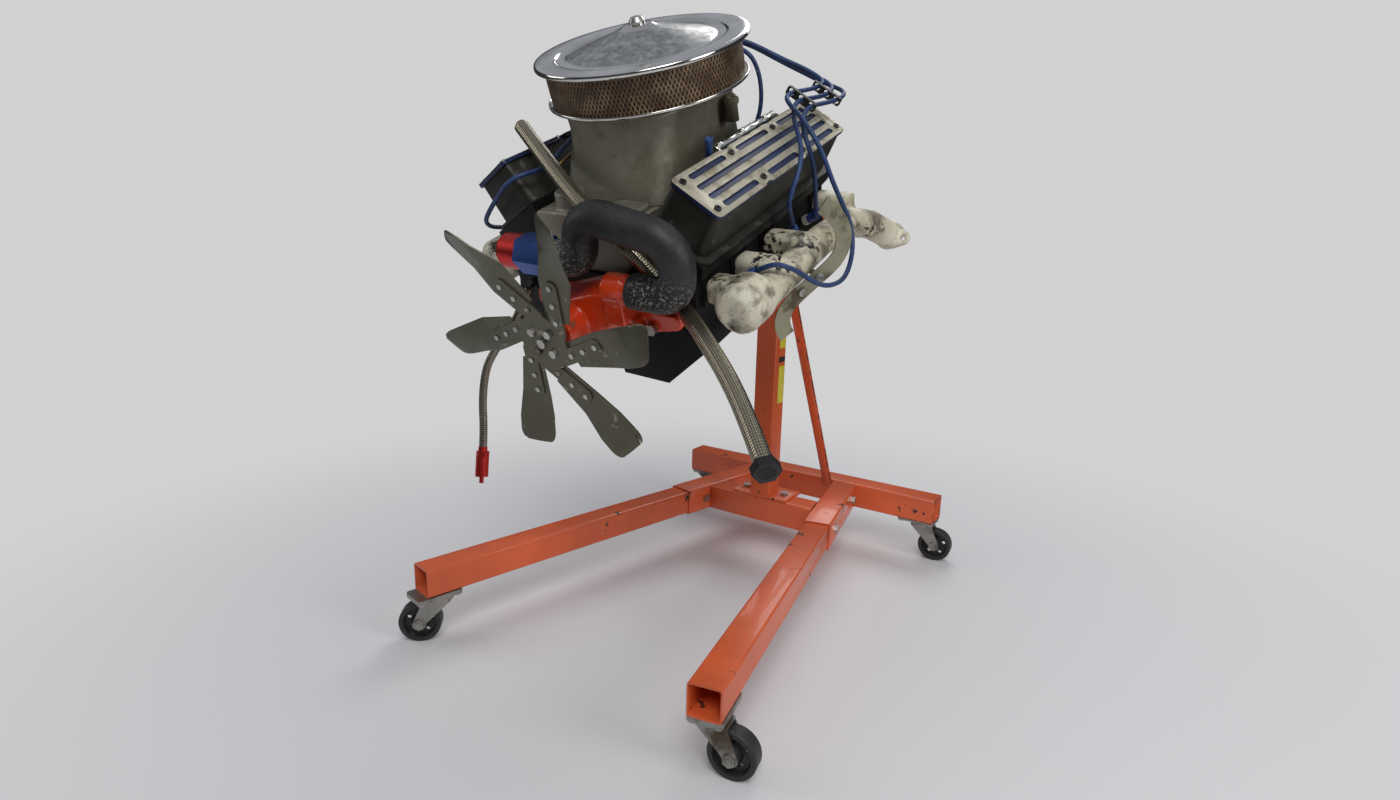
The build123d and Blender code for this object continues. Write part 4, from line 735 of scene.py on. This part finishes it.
# Each wire: its tower on the cap, its bank (1 left, -1 right), its plug's station and its points.
wire_routes = {
    "plug_wire_left_1": (0, 1, -402, ((27, -66.5, 466), (38, -62, 484), (58, -54, 489),
        (84, -38, 474), (118, -8, 446), (153, 14, 424), (171, 15, 414), (187, 7, 408),
        (196, -8, 404), (196.5, -40, 404), (191, -80, 409), (186, -118, 415), (190, -146, 413),
        (209, -167, 406), (236, -186, 394), (264, -202, 372), (285, -208, 340), (298, -206, 300),
        (311, -194, 256), (322, -186, 222), (335, -204, 192), (347, -246, 172), (353, -292, 164),
        (341, -328, 168), (325, -348, 184), (312, -366, 206), (304, -388, 224), (284, -402, 234))),
    "plug_wire_left_2": (1, 1, -219, ((12, -51, 466), (24, -46, 482), (44, -38, 485),
        (72, -20, 468), (108, 4, 444), (142, 28, 420), (164, 32, 407), (188, 26, 400),
        (205, 11, 395), (214, -8, 392), (214.5, -42, 392), (209, -82, 397), (204, -118, 404),
        (206, -148, 401), (218, -176, 389), (240, -206, 371), (260, -236, 355), (268, -262, 334),
        (264, -282, 308), (256, -284, 282), (248, -264, 262))),
    "plug_wire_left_3": (2, 1, -130, ((-9, -50, 466), (2, -42, 482), (24, -28, 486), (58, -6, 468),
        (98, 18, 438), (136, 40, 412), (164, 46, 397), (196, 42, 387), (218, 28, 385),
        (232, 8, 381), (232, -26, 381), (228, -70, 386), (221, -116, 393), (224, -150, 389),
        (238, -184, 376), (256, -206, 357), (264, -206, 332), (262, -194, 304), (257, -182, 272),
        (248, -164, 244))),
    "plug_wire_right": (3, -1, -380, ((-27, -66, 466), (-40, -67, 486), (-64, -75, 490),
        (-91, -96, 466), (-114, -128, 434), (-132, -170, 410), (-142, -216, 398),
        (-146, -262, 392), (-146, -308, 386), (-142, -354, 376), (-134, -400, 364),
        (-130, -440, 362), (-136, -472, 366), (-158, -488, 356), (-190, -489, 328),
        (-220, -489, 301), (-243, -484, 279), (-259, -463, 259), (-263, -436, 247),
        (-254, -408, 237))),
}
sender_points = ((30, -87, 462), (46, -83, 477), (70, -79, 480), (92, -78, 466), (104, -78, 440),
                 (108, -79, 408), (106, -84, 376), (98, -91, 352), (96, -92, 334))
print("wires:", len(wire_routes) + 1)

# %% [markdown]
# ## Boots
# A moulded boot is pushed on at each end of a wire: a short collar on the cap's tower, and a
# sleeve with an elbow on the plug. They are round all along, so each is a profile turned about
# its axis. The elbow is a second turned piece that leaves the sleeve in the wire's own direction.

# %% Boots
plug_slope = math.radians(62)
plug_seat_x, plug_seat_z = 196.0, 184.0
elbow_corner = 42
elbow_reach = 24
cap_boot = ((0, 4.2), (0, 6.6), (1, 7.5), (5.5, 7.5), (6.5, 6.9), (7.9, 6.9), (8.0, 4.2))
plug_boot = ((24, 6.0), (24, 8.0), (24.6, 8.5), (28, 8.5), (28.6, 8.1), (43, 8.0), (47, 7.4),
             (49, 5.4), (49.2, 0.1))
elbow_boot = ((0, 7.2), (12, 7.2), (12.6, 7.25), (16, 7.25), (16.6, 6.7), (23, 6.6), (23.9, 6.1),
              (24, 4.1))
sender_boot = ((0, 0.1), (0, 7.0), (1, 7.5), (19, 7.5), (21, 6.2), (22, 4.1))


def tower_spot(index):
    """Centre of one of the cap's eight towers: centre + circle (cos a, sin a), a = 22.5 + 45 i."""
    angle = math.radians(22.5 + 45 * index)
    return (cap_centre[0] + tower_circle * math.cos(angle),
            cap_centre[1] + tower_circle * math.sin(angle))


def plug_end(side, station, last_point):
    """Plug's axis and seat, the boot's corner at seat + 42 axis, and the way to the wire."""
    axis = np.array([side * math.sin(plug_slope), 0.0, math.cos(plug_slope)])
    seat = np.array([side * plug_seat_x, station, plug_seat_z])
    corner = seat + axis * elbow_corner
    away = np.asarray(last_point, float) - corner
    return axis, seat, corner, away / np.linalg.norm(away)


print("first tower at", [round(float(place), 1) for place in tower_spot(0)])

# %% Wires and boots
boot_parts = {"left": [], "right": []}
for wire_name, (tower, side, station, points) in wire_routes.items():
    axis, seat, corner, away = plug_end(side, station, points[-1])
    x, y = tower_spot(tower)
    start = (x, y, cap_boot_top)
    curve = cord_curve(wire_name, (start, *points, tuple(corner + away * elbow_reach)), wire_radius)
    curve.data.materials.append(wire_blue)
    bank = "left" if side > 0 else "right"
    place_piece(curve, "engine", "wire_blue", f"plug_wires_{bank}")
    boot_parts[bank] += [lathe((x, y, cap_boot_foot), (0, 0, 1), cap_boot, 32),
                         lathe(seat, axis, plug_boot, 32), lathe(corner, away, elbow_boot, 32)]
for bank, parts in boot_parts.items():
    boots = engine_piece(f"plug_boots_{bank}", parts, boot_blue)
    place_piece(boots, "engine", "wire_blue", f"plug_wires_{bank}")

# %% Sender lead
x, y = tower_spot(sender_tower)
sender = cord_curve("sender_wire", ((x, y, cap_boot_top), *sender_points), wire_radius)
sender.data.materials.append(wire_blue)
place_piece(sender, "engine", "wire_blue", "sender_lead")
sender_boots = [lathe((x, y, cap_boot_foot), (0, 0, 1), cap_boot, 32),
                lathe(sender_foot, (0, 0, 1), sender_boot, 32)]
place_piece(engine_piece("sender_boots", sender_boots, boot_blue), "engine", "wire_blue",
            "sender_lead")

# %% [markdown]
# ## Braided hoses
# Two braided hoses hang from the engine. They are thicker and stiffer than the wires, but are
# still one round section along a path, so they are curves of the same kind. A simulation could
# hang them, but it would not repeat the photograph's bends, so their points are the CAD tube's.

# %% Hose routes
large_radius = 13.0
small_radius = 7.15
large_points = (
    (-195.3, -389.0, 418.7), (-124.5, -428.0, 389.9), (-57.7, -464.0, 362.0), (4.0, -493.0, 335.0),
    (90.0, -513.6, 290.0), (182.0, -514.5, 202.0), (274.4, -594.2, 203.5), (341.1, -641.9, 176.9),
    (399.7, -695.5, 151.0), (449.2, -749.2, 137.5))
small_points = (
    (-130.0, -524.8, 184.0), (-136.0, -536.0, 166.0), (-154.3, -553.1, 131.9),
    (-172.8, -575.4, 102.7), (-190.6, -595.3, 76.8), (-198.5, -613.5, 53.3), (-195.6, -642.1, 7.8),
    (-185.5, -666.0, -38.9), (-180.1, -683.8, -65.8))
print("hose points:", len(large_points), "and", len(small_points))

# %% Braided hoses
for hose_name, node_name, points, radius, weave, far_end, pieces in (
        ("large_hose", "braided_hose_large", large_points, large_radius, braid_large, "bare",
         ["hose_fittings"]),
        ("small_hose", "braided_hose_small", small_points, small_radius, braid_small, "fitting",
         ["red_end_fitting"])):
    hose = cord_curve(hose_name, points, radius)
    hose.data.materials.append(weave)
    place_piece(hose, "engine", "braid", node_name)
    print(hose_name, round(curve_length(hose), 3), "m")

# %% [markdown]
# ## Open ends of the large hose
# The large hose is cut off plain, so its rubber bore shows at both ends. The curve is closed by a
# flat cap. Instead of cutting the cap, a thin dark rim with a shallow hollow is turned on it: it
# stands 0.4 mm proud, so that no two surfaces share a plane. Its near-black is the rubber's own
# colour on the rim and painted shade over the open bore.

# %% Open ends of the large hose
hose_rim = ((0.02, 12.4), (0.4, 11.6), (0.4, 10.4), (0.1, 9.8), (0.05, 0))
parts = []
for end, before in ((large_points[0], large_points[1]), (large_points[-1], large_points[-2])):
    way = np.subtract(end, before) / np.linalg.norm(np.subtract(end, before))
    parts.append(lathe(end, way, hose_rim, 48))
# The near-black hollow is painted shade inside the open bore; the rim is the rubber's own black.
place_piece(engine_piece("large_hose_bores", parts, black_and_bore_shade), "engine", "hose_rubber",
            "braided_hose_large")
print("open ends:", len(parts))

# %% [markdown]
# ## Rounded CAD pieces
# The stand is enamelled square tube, and its corners are rounded and worn through to dark metal.
# The pieces could be drawn again, but the CAD meshes have the right form and only their edges are
# too sharp. So a copy has its doubled points merged and its flat faces made whole, and a bevel
# rounds every edge. The bevel can carry a second, more chipped paint, so wear sits on the
# corners.

# %% Rounded CAD pieces
copy_weld_distance = 2e-5
flat_angle = math.radians(0.4)
sharp_angle = math.radians(32)


def merged(node_name):
    """Copy of a CAD node's mesh, at its own place, with its doubled points merged."""
    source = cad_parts[node_name]
    data = source.data.copy()
    data.name = node_name + "_mesh"
    data.transform(source.matrix_world)
    data.materials.clear()
    work = bmesh.new()
    work.from_mesh(data)
    bmesh.ops.remove_doubles(work, verts=work.verts, dist=copy_weld_distance)
    work.to_mesh(data)
    work.free()
    return data


def dissolve_flat(work):
    """Makes one face of the triangles that lie within flat_angle of one plane."""
    bmesh.ops.dissolve_limit(work, angle_limit=flat_angle, verts=work.verts, edges=work.edges)


def round_edges(obj, name, width, segments, angle):
    """Bevel of the edges whose two faces turn by more than the angle."""
    rounding = obj.modifiers.new(name, "BEVEL")
    rounding.width = width
    rounding.segments = segments
    rounding.limit_method = "ANGLE"
    rounding.angle_limit = angle
    return rounding


def soften(node_name, body, width, surface, slot_name, segments=3, edge_surface=None):
    """Copy of a CAD node with its sharp edges rounded; edge_surface may cover the rounding."""
    data = merged(node_name)
    data.materials.append(surface)
    work = bmesh.new()
    work.from_mesh(data)
    dissolve_flat(work)
    work.to_mesh(data)
    work.free()
    data.polygons.foreach_set("use_smooth", np.ones(len(data.polygons), bool))
    data.polygons.foreach_set("material_index", np.zeros(len(data.polygons), np.int32))
    obj = bpy.data.objects.new(node_name + "_rounded", data)
    scene.collection.objects.link(obj)
    rounding = round_edges(obj, "rounded edges", width, segments, sharp_angle)
    rounding.harden_normals = True
    if edge_surface is not None:
        data.materials.append(edge_surface)
        rounding.material = 1
    return place_piece(obj, body, slot_name, node_name)


# %% Stand and small hardware
def finish(name, finish_material):
    """Puts one material in every slot of a CAD node, whose mesh stays as it is."""
    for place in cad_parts[name].material_slots:
        place.material = finish_material


for name in list(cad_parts):
    if name.startswith(("leg_", "post", "head_sleeve", "brace_bar", "front_cross", "rear_cross")):
        soften(name, "stand", 0.0018, orange, "orange_paint", segments=2,
               edge_surface=orange_edge)
    elif name.startswith(("head_plate", "engine_arms")):
        soften(name, "engine", 0.0012, orange, "orange_paint", segments=2,
               edge_surface=orange_edge)
    elif name.startswith("caster_wheel"):
        finish(name, wheel_black)
    elif name.startswith("caster"):
        finish(name, zinc)
    elif name.startswith(("clamp_screw", "stand_bolts", "arm_bolts", "engine_screws", "lid_knob",
                          "fan_bolts", "fan_rivets", "pump_shaft")):
        finish(name, bright)
print("stand pieces:", sum(name.startswith(("leg_", "caster", "post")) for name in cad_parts))

# %% [markdown]
# ## Plain labels on the post
# Two yellow labels and a dark strip are stuck to the post's outer side. They could be painted
# into the post's own finish, but a thin sheet gives them a real edge. Their words are left off.

# %% Plain labels on the post
label_face = 27.2
label_thickness = 0.0003
labels = {"post_label_top": ((-222.0, -192.0), (541.0, 580.0), sticker_yellow),
          "post_label_low": ((-222.0, -192.0), (404.0, 498.0), sticker_yellow),
          "post_strip": ((-224.0, -192.0), (507.0, 520.0), black_and_bore_shade)}
for name, (across_y, up_z, surface) in labels.items():
    grid_y, grid_z = np.meshgrid(np.linspace(*across_y, 9), np.linspace(*up_z, 17))
    points = np.stack([np.full(grid_y.size, label_face), grid_y.ravel(), grid_z.ravel()], 1)
    index = np.arange(grid_y.size).reshape(grid_y.shape)
    quads = np.stack([index[:-1, :-1], index[:-1, 1:], index[1:, 1:], index[1:, :-1]], -1)
    label = mesh_object(name, stand(points), quads.reshape(-1, 4), surface)
    sheet = label.modifiers.new("sheet", "SOLIDIFY")
    sheet.thickness = label_thickness
    sheet.offset = 1.0
    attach(label, "stand")
print("labels:", ", ".join(labels))

# %% [markdown]
# ## Castings
# The block and heads are black-painted iron, the intake is stained alloy, the pump is bright red
# and the exhausts are coated cream. A sand casting has a fillet at every join. Where the real one
# is square, a bevel on the CAD mesh is enough. The rounder ones are drawn again as one fine voxel
# skin and relaxed, because that fillets inner corners too, which a bevel leaves sharp.

# %% Cast skins
def cast(node_name, body, surface, slot_name, grid, rounds):
    """The node's form as one voxel skin of the grid's size, each point eased to its neighbours."""
    rough = bpy.data.objects.new("rough", merged(node_name))
    scene.collection.objects.link(rough)
    skin = rough.modifiers.new("skin", "REMESH")
    skin.mode = "VOXEL"
    skin.voxel_size = grid
    ease = rough.modifiers.new("ease", "SMOOTH")
    ease.factor = 0.5
    ease.iterations = rounds
    ready = rough.evaluated_get(bpy.context.evaluated_depsgraph_get())
    data = bpy.data.meshes.new_from_object(ready)
    data.name = node_name + "_cast"
    bpy.data.objects.remove(rough)
    data.polygons.foreach_set("use_smooth", np.ones(len(data.polygons), bool))
    data.materials.clear()
    data.materials.append(surface)
    obj = bpy.data.objects.new(node_name + "_cast", data)
    scene.collection.objects.link(obj)
    return place_piece(obj, body, slot_name, node_name)


# %% Castings
soften("cylinder_block", "engine", 0.0022, block_black, "block_black")
for bank in ("left", "right"):
    soften(f"cylinder_head_{bank}", "engine", 0.0022, block_black, "block_black")
    soften(f"valve_cover_{bank}", "engine", 0.004, cover_dark, "cover_black")
    cast(f"exhaust_manifold_{bank}", "engine", coating, "header_white", grid=0.0032, rounds=9)
cast("intake_manifold", "engine", cast_alloy, "cast_alloy", grid=0.003, rounds=4)
cast("plenum", "engine", cast_alloy, "cast_alloy", grid=0.003, rounds=8)
pump = cast("water_pump", "engine", pump_paint, "pump_red", grid=0.002, rounds=6)
print("water pump's skin:", len(pump.data.polygons), "faces")

# %% Small pieces and cover plates
for name, surface in (("distributor", moulded_black), ("wire_combs", moulded_black),
                      ("spark_plugs", ceramic), ("hose_fittings", black_steel),
                      ("blue_fitting", anodised_blue), ("red_socket", anodised_red),
                      ("red_end_fitting", anodised_red), ("plug_shield", shield_steel),
                      ("fan_spider", fan_paint), ("rubber_hose", hose_rubber),
                      ("cover_bolts", black_steel)):
    finish(name, surface)
for side, bank in ((1, "left"), (-1, "right")):
    plate = soften(f"cover_plate_{bank}", "engine", 0.0005, slotted_plate(side), "blue_plate",
                   segments=2)
    print(plate.name, len(plate.data.polygons), "faces")

# %% [markdown]
# ## Fan blades
# The blades are pressed from sheet, with well-rounded tips. The CAD's blades end in square
# corners. They could be lofted again, but their twist is right, so only the short edges across
# the sheet out at the tips are found by their length and radius, and bevelled into arcs of 20 mm.

# %% Fan blades
fan_hub = (0.0, -636.0, 165.0)
tip_radius = 0.02
tip_reach = 0.205
sheet_edge = 0.004
tip_angle = math.radians(50)


def round_blades():
    """Blades whose tip corners, edges across the sheet beyond tip_reach, are bevelled to arcs.

    Distance out = |m - axis (m . axis)|, with m from the hub to the edge's middle.
    """
    data = merged("fan_blades")
    work = bmesh.new()
    work.from_mesh(data)
    dissolve_flat(work)
    centre = Vector(engine(fan_hub))
    axis = Vector(-forward)
    tips = []
    for edge in work.edges:
        middle = (edge.verts[0].co + edge.verts[1].co) / 2 - centre
        out = (middle - axis * middle.dot(axis)).length
        sharp = edge.calc_face_angle(0) > tip_angle
        if sharp and edge.calc_length() < sheet_edge and out > tip_reach:
            tips.append(edge)
    bmesh.ops.bevel(work, geom=tips, offset=tip_radius, segments=8, affect="EDGES", profile=0.5)
    work.to_mesh(data)
    work.free()
    data.materials.append(fan_paint)
    obj = bpy.data.objects.new("fan_blades_rounded", data)
    scene.collection.objects.link(obj)
    round_edges(obj, "sheet edges", 0.0006, 2, tip_angle)
    print("blade tips rounded:", len(tips))
    return place_piece(obj, "fan_rotor", "fan_olive", "fan_blades")


round_blades()

# %% [markdown]
# ## Air cleaner
# A spun lid, a ring of mesh and a pressed pan, all round. They could be cylinders with bevels,
# but spun sheet bends in soft curves. So each is a profile turned round the cleaner's leaning
# axis, and the lid's and the pan's corners are first cut at their quarter points, twice, which
# turns them into even curves.

# %% Air cleaner's profiles
lid_centre = (0.0, -276.0, 528.0)
lid_tilt = math.radians(4.5)
lid_axis = (0.0, -math.sin(lid_tilt), math.cos(lid_tilt))
lid_profile = ((27, 0), (27, 20), (26, 25), (22, 31), (8, 80), (-3.6, 121), (-5, 126), (-5, 138),
               (-4, 140.5), (-0.8, 143), (0, 146), (0, 172), (-0.6, 176), (-3.5, 177.7),
               (-8, 177.7), (-8, 175.6), (-4.5, 175.2), (-3, 172), (-3, 146), (-7.6, 140),
               (-8, 126), (19, 31), (24, 22), (24, 0))
pan_profile = ((-74.5, 66), (-74.5, 145), (-72.5, 150), (-69.6, 154), (-69.5, 168), (-68, 170),
               (-64.5, 170), (-63.5, 168.6), (-65, 167), (-66.5, 165), (-66.5, 153), (-71.5, 144),
               (-71.5, 66))
element_profile = ((-66.4, 146.2), (-66.4, 162.6), (-65.8, 162.9), (-35, 163.0), (-3.6, 162.9),
                   (-3.1, 162.6), (-3.1, 146.2), (-66.4, 146.2))


def rounded(profile, rounds):
    """Each span a, b becomes 0.75 a + 0.25 b and 0.25 a + 0.75 b, rounds times; ends stay."""
    line = np.asarray(profile, float)
    for _ in range(rounds):
        before, after = line[:-1], line[1:]
        cut = np.stack([before * 0.75 + after * 0.25, before * 0.25 + after * 0.75], 1)
        line = np.concatenate([line[:1], cut.reshape(-1, line.shape[1])[1:-1], line[-1:]])
    return line


print("lid's profile:", len(lid_profile), "points, rounded to", len(rounded(lid_profile, 2)))

# %% Air cleaner
for name, profile, surface, slot_name, rounds in (
        ("air_cleaner_lid", lid_profile, lid_chrome, "lid_chrome", 2),
        ("air_cleaner_base", pan_profile, chrome, "lid_chrome", 2),
        ("filter_element", element_profile, mesh_brown, "filter_mesh", 0)):
    sheet = lathe(lid_centre, lid_axis, rounded(profile, rounds), 192)
    place_piece(engine_piece(name + "_turned", [sheet], surface), "engine", slot_name, name)
    print(name, len(sheet[0]), "points")

# %% [markdown]
# ## Small fittings
# Bits show between the larger castings: a blue stub tube and a plated strip beside the left
# cover, a thin brass rod by the plenum, two lugs under the air cleaner and a plug in the
# exhaust's outlet. They are too small to need CAD of their own. Turned profiles make the round
# ones, and the strip is a narrow grid whose long edges waver like hand-bent sheet.

# %% Wavy strip
def strip(start, end, across, lift, thickness=1.8, columns=60, sway=0.9):
    """Flat strip between two points with slightly wavy long edges, as a closed grid.

    Edge offset at share t: +-(|across| / 2 + sway sin(4 tau t) cos(1.3 tau t)).
    """
    share = np.linspace(0, 1, columns)
    line = np.asarray(start) + share[:, None] * (np.asarray(end, float) - np.asarray(start))
    across, lift = np.asarray(across, float), np.asarray(lift, float)
    swing = np.sin(4 * math.tau * share) * np.cos(1.3 * math.tau * share)
    wide = np.linalg.norm(across) / 2 + sway * swing
    side = across / np.linalg.norm(across)
    ring = [line + s * wide[:, None] * side + h * lift * thickness
            for s, h in ((-1, 0), (1, 0), (1, 1), (-1, 1))]
    points = np.stack(ring, 1)
    index = np.arange(columns * 4).reshape(columns, 4)
    around = np.roll(index, -1, axis=1)
    walls = np.stack([index[:-1], around[:-1], around[1:], index[1:]], -1).reshape(-1, 4)
    ends = np.array([index[0][::-1], index[-1]])
    faces = np.concatenate([walls, ends])
    return points.reshape(-1, 3), faces, np.zeros((len(faces) * 4, 2))


# %% Small fittings
slope_across = np.array([math.cos(cover_slope), 0.0, -math.sin(cover_slope)])
slope_up = np.array([math.sin(cover_slope), 0.0, math.cos(cover_slope)])
bead = ((0, 0.05), (0, 5.0), (3.4, 5.0), (4.2, 4.3), (4.3, 0.05))
stub = ((0, 0.1), (0, 5.6), (30, 5.6), (31, 6.2), (37, 6.2), (38.5, 5.4), (38.5, 4.2), (20, 4.2),
        (20, 0.1))
rod = ((0, 0.1), (0, 2.2), (1, 2.8), (131, 2.8), (132, 2.2), (132, 0.1))
lug = ((0, 0.1), (0, 12), (26, 10), (29, 12.5), (36, 12.5), (38, 10.5), (38, 4), (30, 3.6),
       (30, 0.1))
plug = ((0, 0.1), (0, 12.5), (13, 12.5), (15.5, 11.4), (16, 9.5), (16.4, 0.1))
fittings = {
    "stub_tube": (boot_blue, "wire_blue", [lathe((169, -372, 372), (0.12, 0, 1), stub, 40)]),
    "cover_strip": (chrome, "lid_chrome", [
        strip((171, -352, 388), (171, -150, 388), slope_across * 15, slope_up),
        *[lathe((171, y, 389.6), slope_up, bead, 24) for y in (-340, -268, -190)]]),
    "brass_rod": (brass, "bright_steel", [lathe((-112, -409, 362), (0, 129, 28), rod, 20)]),
    "plenum_lugs": (cast_alloy, "cast_alloy", [
        lathe((x, y, 392), (0.05, 0, 1), lug, 32) for x, y in ((106, -196), (122, -214))]),
    "exhaust_plug": (coating, "header_white", [
        lathe((300, -50, 154), (1, -0.15, -0.25), plug, 36)]),
}
for name, (surface, slot_name, parts) in fittings.items():
    piece = engine_piece(name, parts, surface)
    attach(piece, "engine")
print("small fittings:", ", ".join(fittings))

# %% [markdown]
# ## Floor
# A pale, plain floor that rises into a backdrop, as in a studio. A flat plane ends in a horizon
# line in a low view, so a turned bowl is used, whose wall bends up smoothly. Near the stand it is
# lit and keeps the shadow; farther out the camera sees one even pale tone, whatever the lamps do
# there.

# %% Floor
bowl = ((0.0, 0.001), (0.0, 0.4), (0.0, 1.0), (0.0, 3.0), (0.0, 6.0), (0.3, 8.5), (1.4, 10.6),
        (3.3, 12.0), (9.0, 12.6))
lit_until, plain_from = 0.45, 1.9
pale_until, dark_from = 2.8, 4.5
plain_tone = (0.64, 0.64, 0.645)
points, faces, _ = lathe((0, 0, 0), (0, 0, 1), rounded(bowl, 2), 96)
floor_material, floor_tree, floor_shader = material("pale_floor")
away = node(floor_tree, "ShaderNodeVectorMath", operation="LENGTH")
floor_tree.links.new(node(floor_tree, "ShaderNodeTexCoord").outputs["Object"], away.inputs[0])
far = smooth_step(floor_tree, away.outputs["Value"], lit_until, plain_from)
seen = math_node(floor_tree, "MULTIPLY", far,
                 node(floor_tree, "ShaderNodeLightPath").outputs["Is Camera Ray"])
beyond = smooth_step(floor_tree, away.outputs["Value"], pale_until, dark_from)
feed(floor_tree, floor_shader, Roughness=0.9,
     Base_Color=blend_colour(floor_tree, beyond, (0.74, 0.74, 0.745), (0.14, 0.14, 0.145)))
plain = node(floor_tree, "ShaderNodeEmission")
set_or_link(floor_tree, plain.inputs["Color"], plain_tone)
chosen = node(floor_tree, "ShaderNodeMixShader")
for socket, value in zip(chosen.inputs, (seen, floor_shader.outputs[0], plain.outputs[0])):
    floor_tree.links.new(value, socket)
floor_tree.links.new(chosen.outputs[0], floor_tree.nodes["Material Output"].inputs["Surface"])
mesh_object("floor", points, faces[:, ::-1], floor_material)
print("floor's radius, m:", round(float(points[:, 0].max()), 2))

# %% [markdown]
# ## Light
# Large soft lamps, as in a studio: a key in front, fills on both sides and a rim from behind,
# over a faint bluish world. Small bright lamps would print hard spots on the plating, and a lit
# picture of a room would show in it. The lamps' power is set so that a colour renders about as it
# is written.

# %% Light
world_tone = (0.86, 0.9, 1.0, 1)
world_strength = 0.4
world = bpy.data.worlds.new("studio")
scene.world = world
world.use_nodes = True
surrounding = world.node_tree.nodes["Background"]
surrounding.inputs["Color"].default_value = world_tone
surrounding.inputs["Strength"].default_value = world_strength


def area_light(name, place, target, size, power):
    """Square soft lamp of the size in metres and power in watts, at place, facing target."""
    data = bpy.data.lights.new(name, "AREA")
    data.energy = power
    data.size = size
    light = bpy.data.objects.new(name, data)
    scene.collection.objects.link(light)
    light.location = place
    light.rotation_euler = (Vector(target) - Vector(place)).to_track_quat("-Z", "Y").to_euler()


area_light("key", (1.6, -2.2, 3.0), (0, 0, 0.7), 1.4, 48)
area_light("left_fill", (-2.8, -1.8, 1.8), (0, 0, 0.6), 1.4, 12)
area_light("right_fill", (3.0, -0.2, 1.6), (0, 0, 0.6), 1.2, 24)
area_light("back_rim", (-0.6, 2.6, 3.0), (0, 0, 0.7), 1.8, 36)
print("lamps:", ", ".join(f"{lamp.name} {lamp.energy:g} W" for lamp in bpy.data.lights))
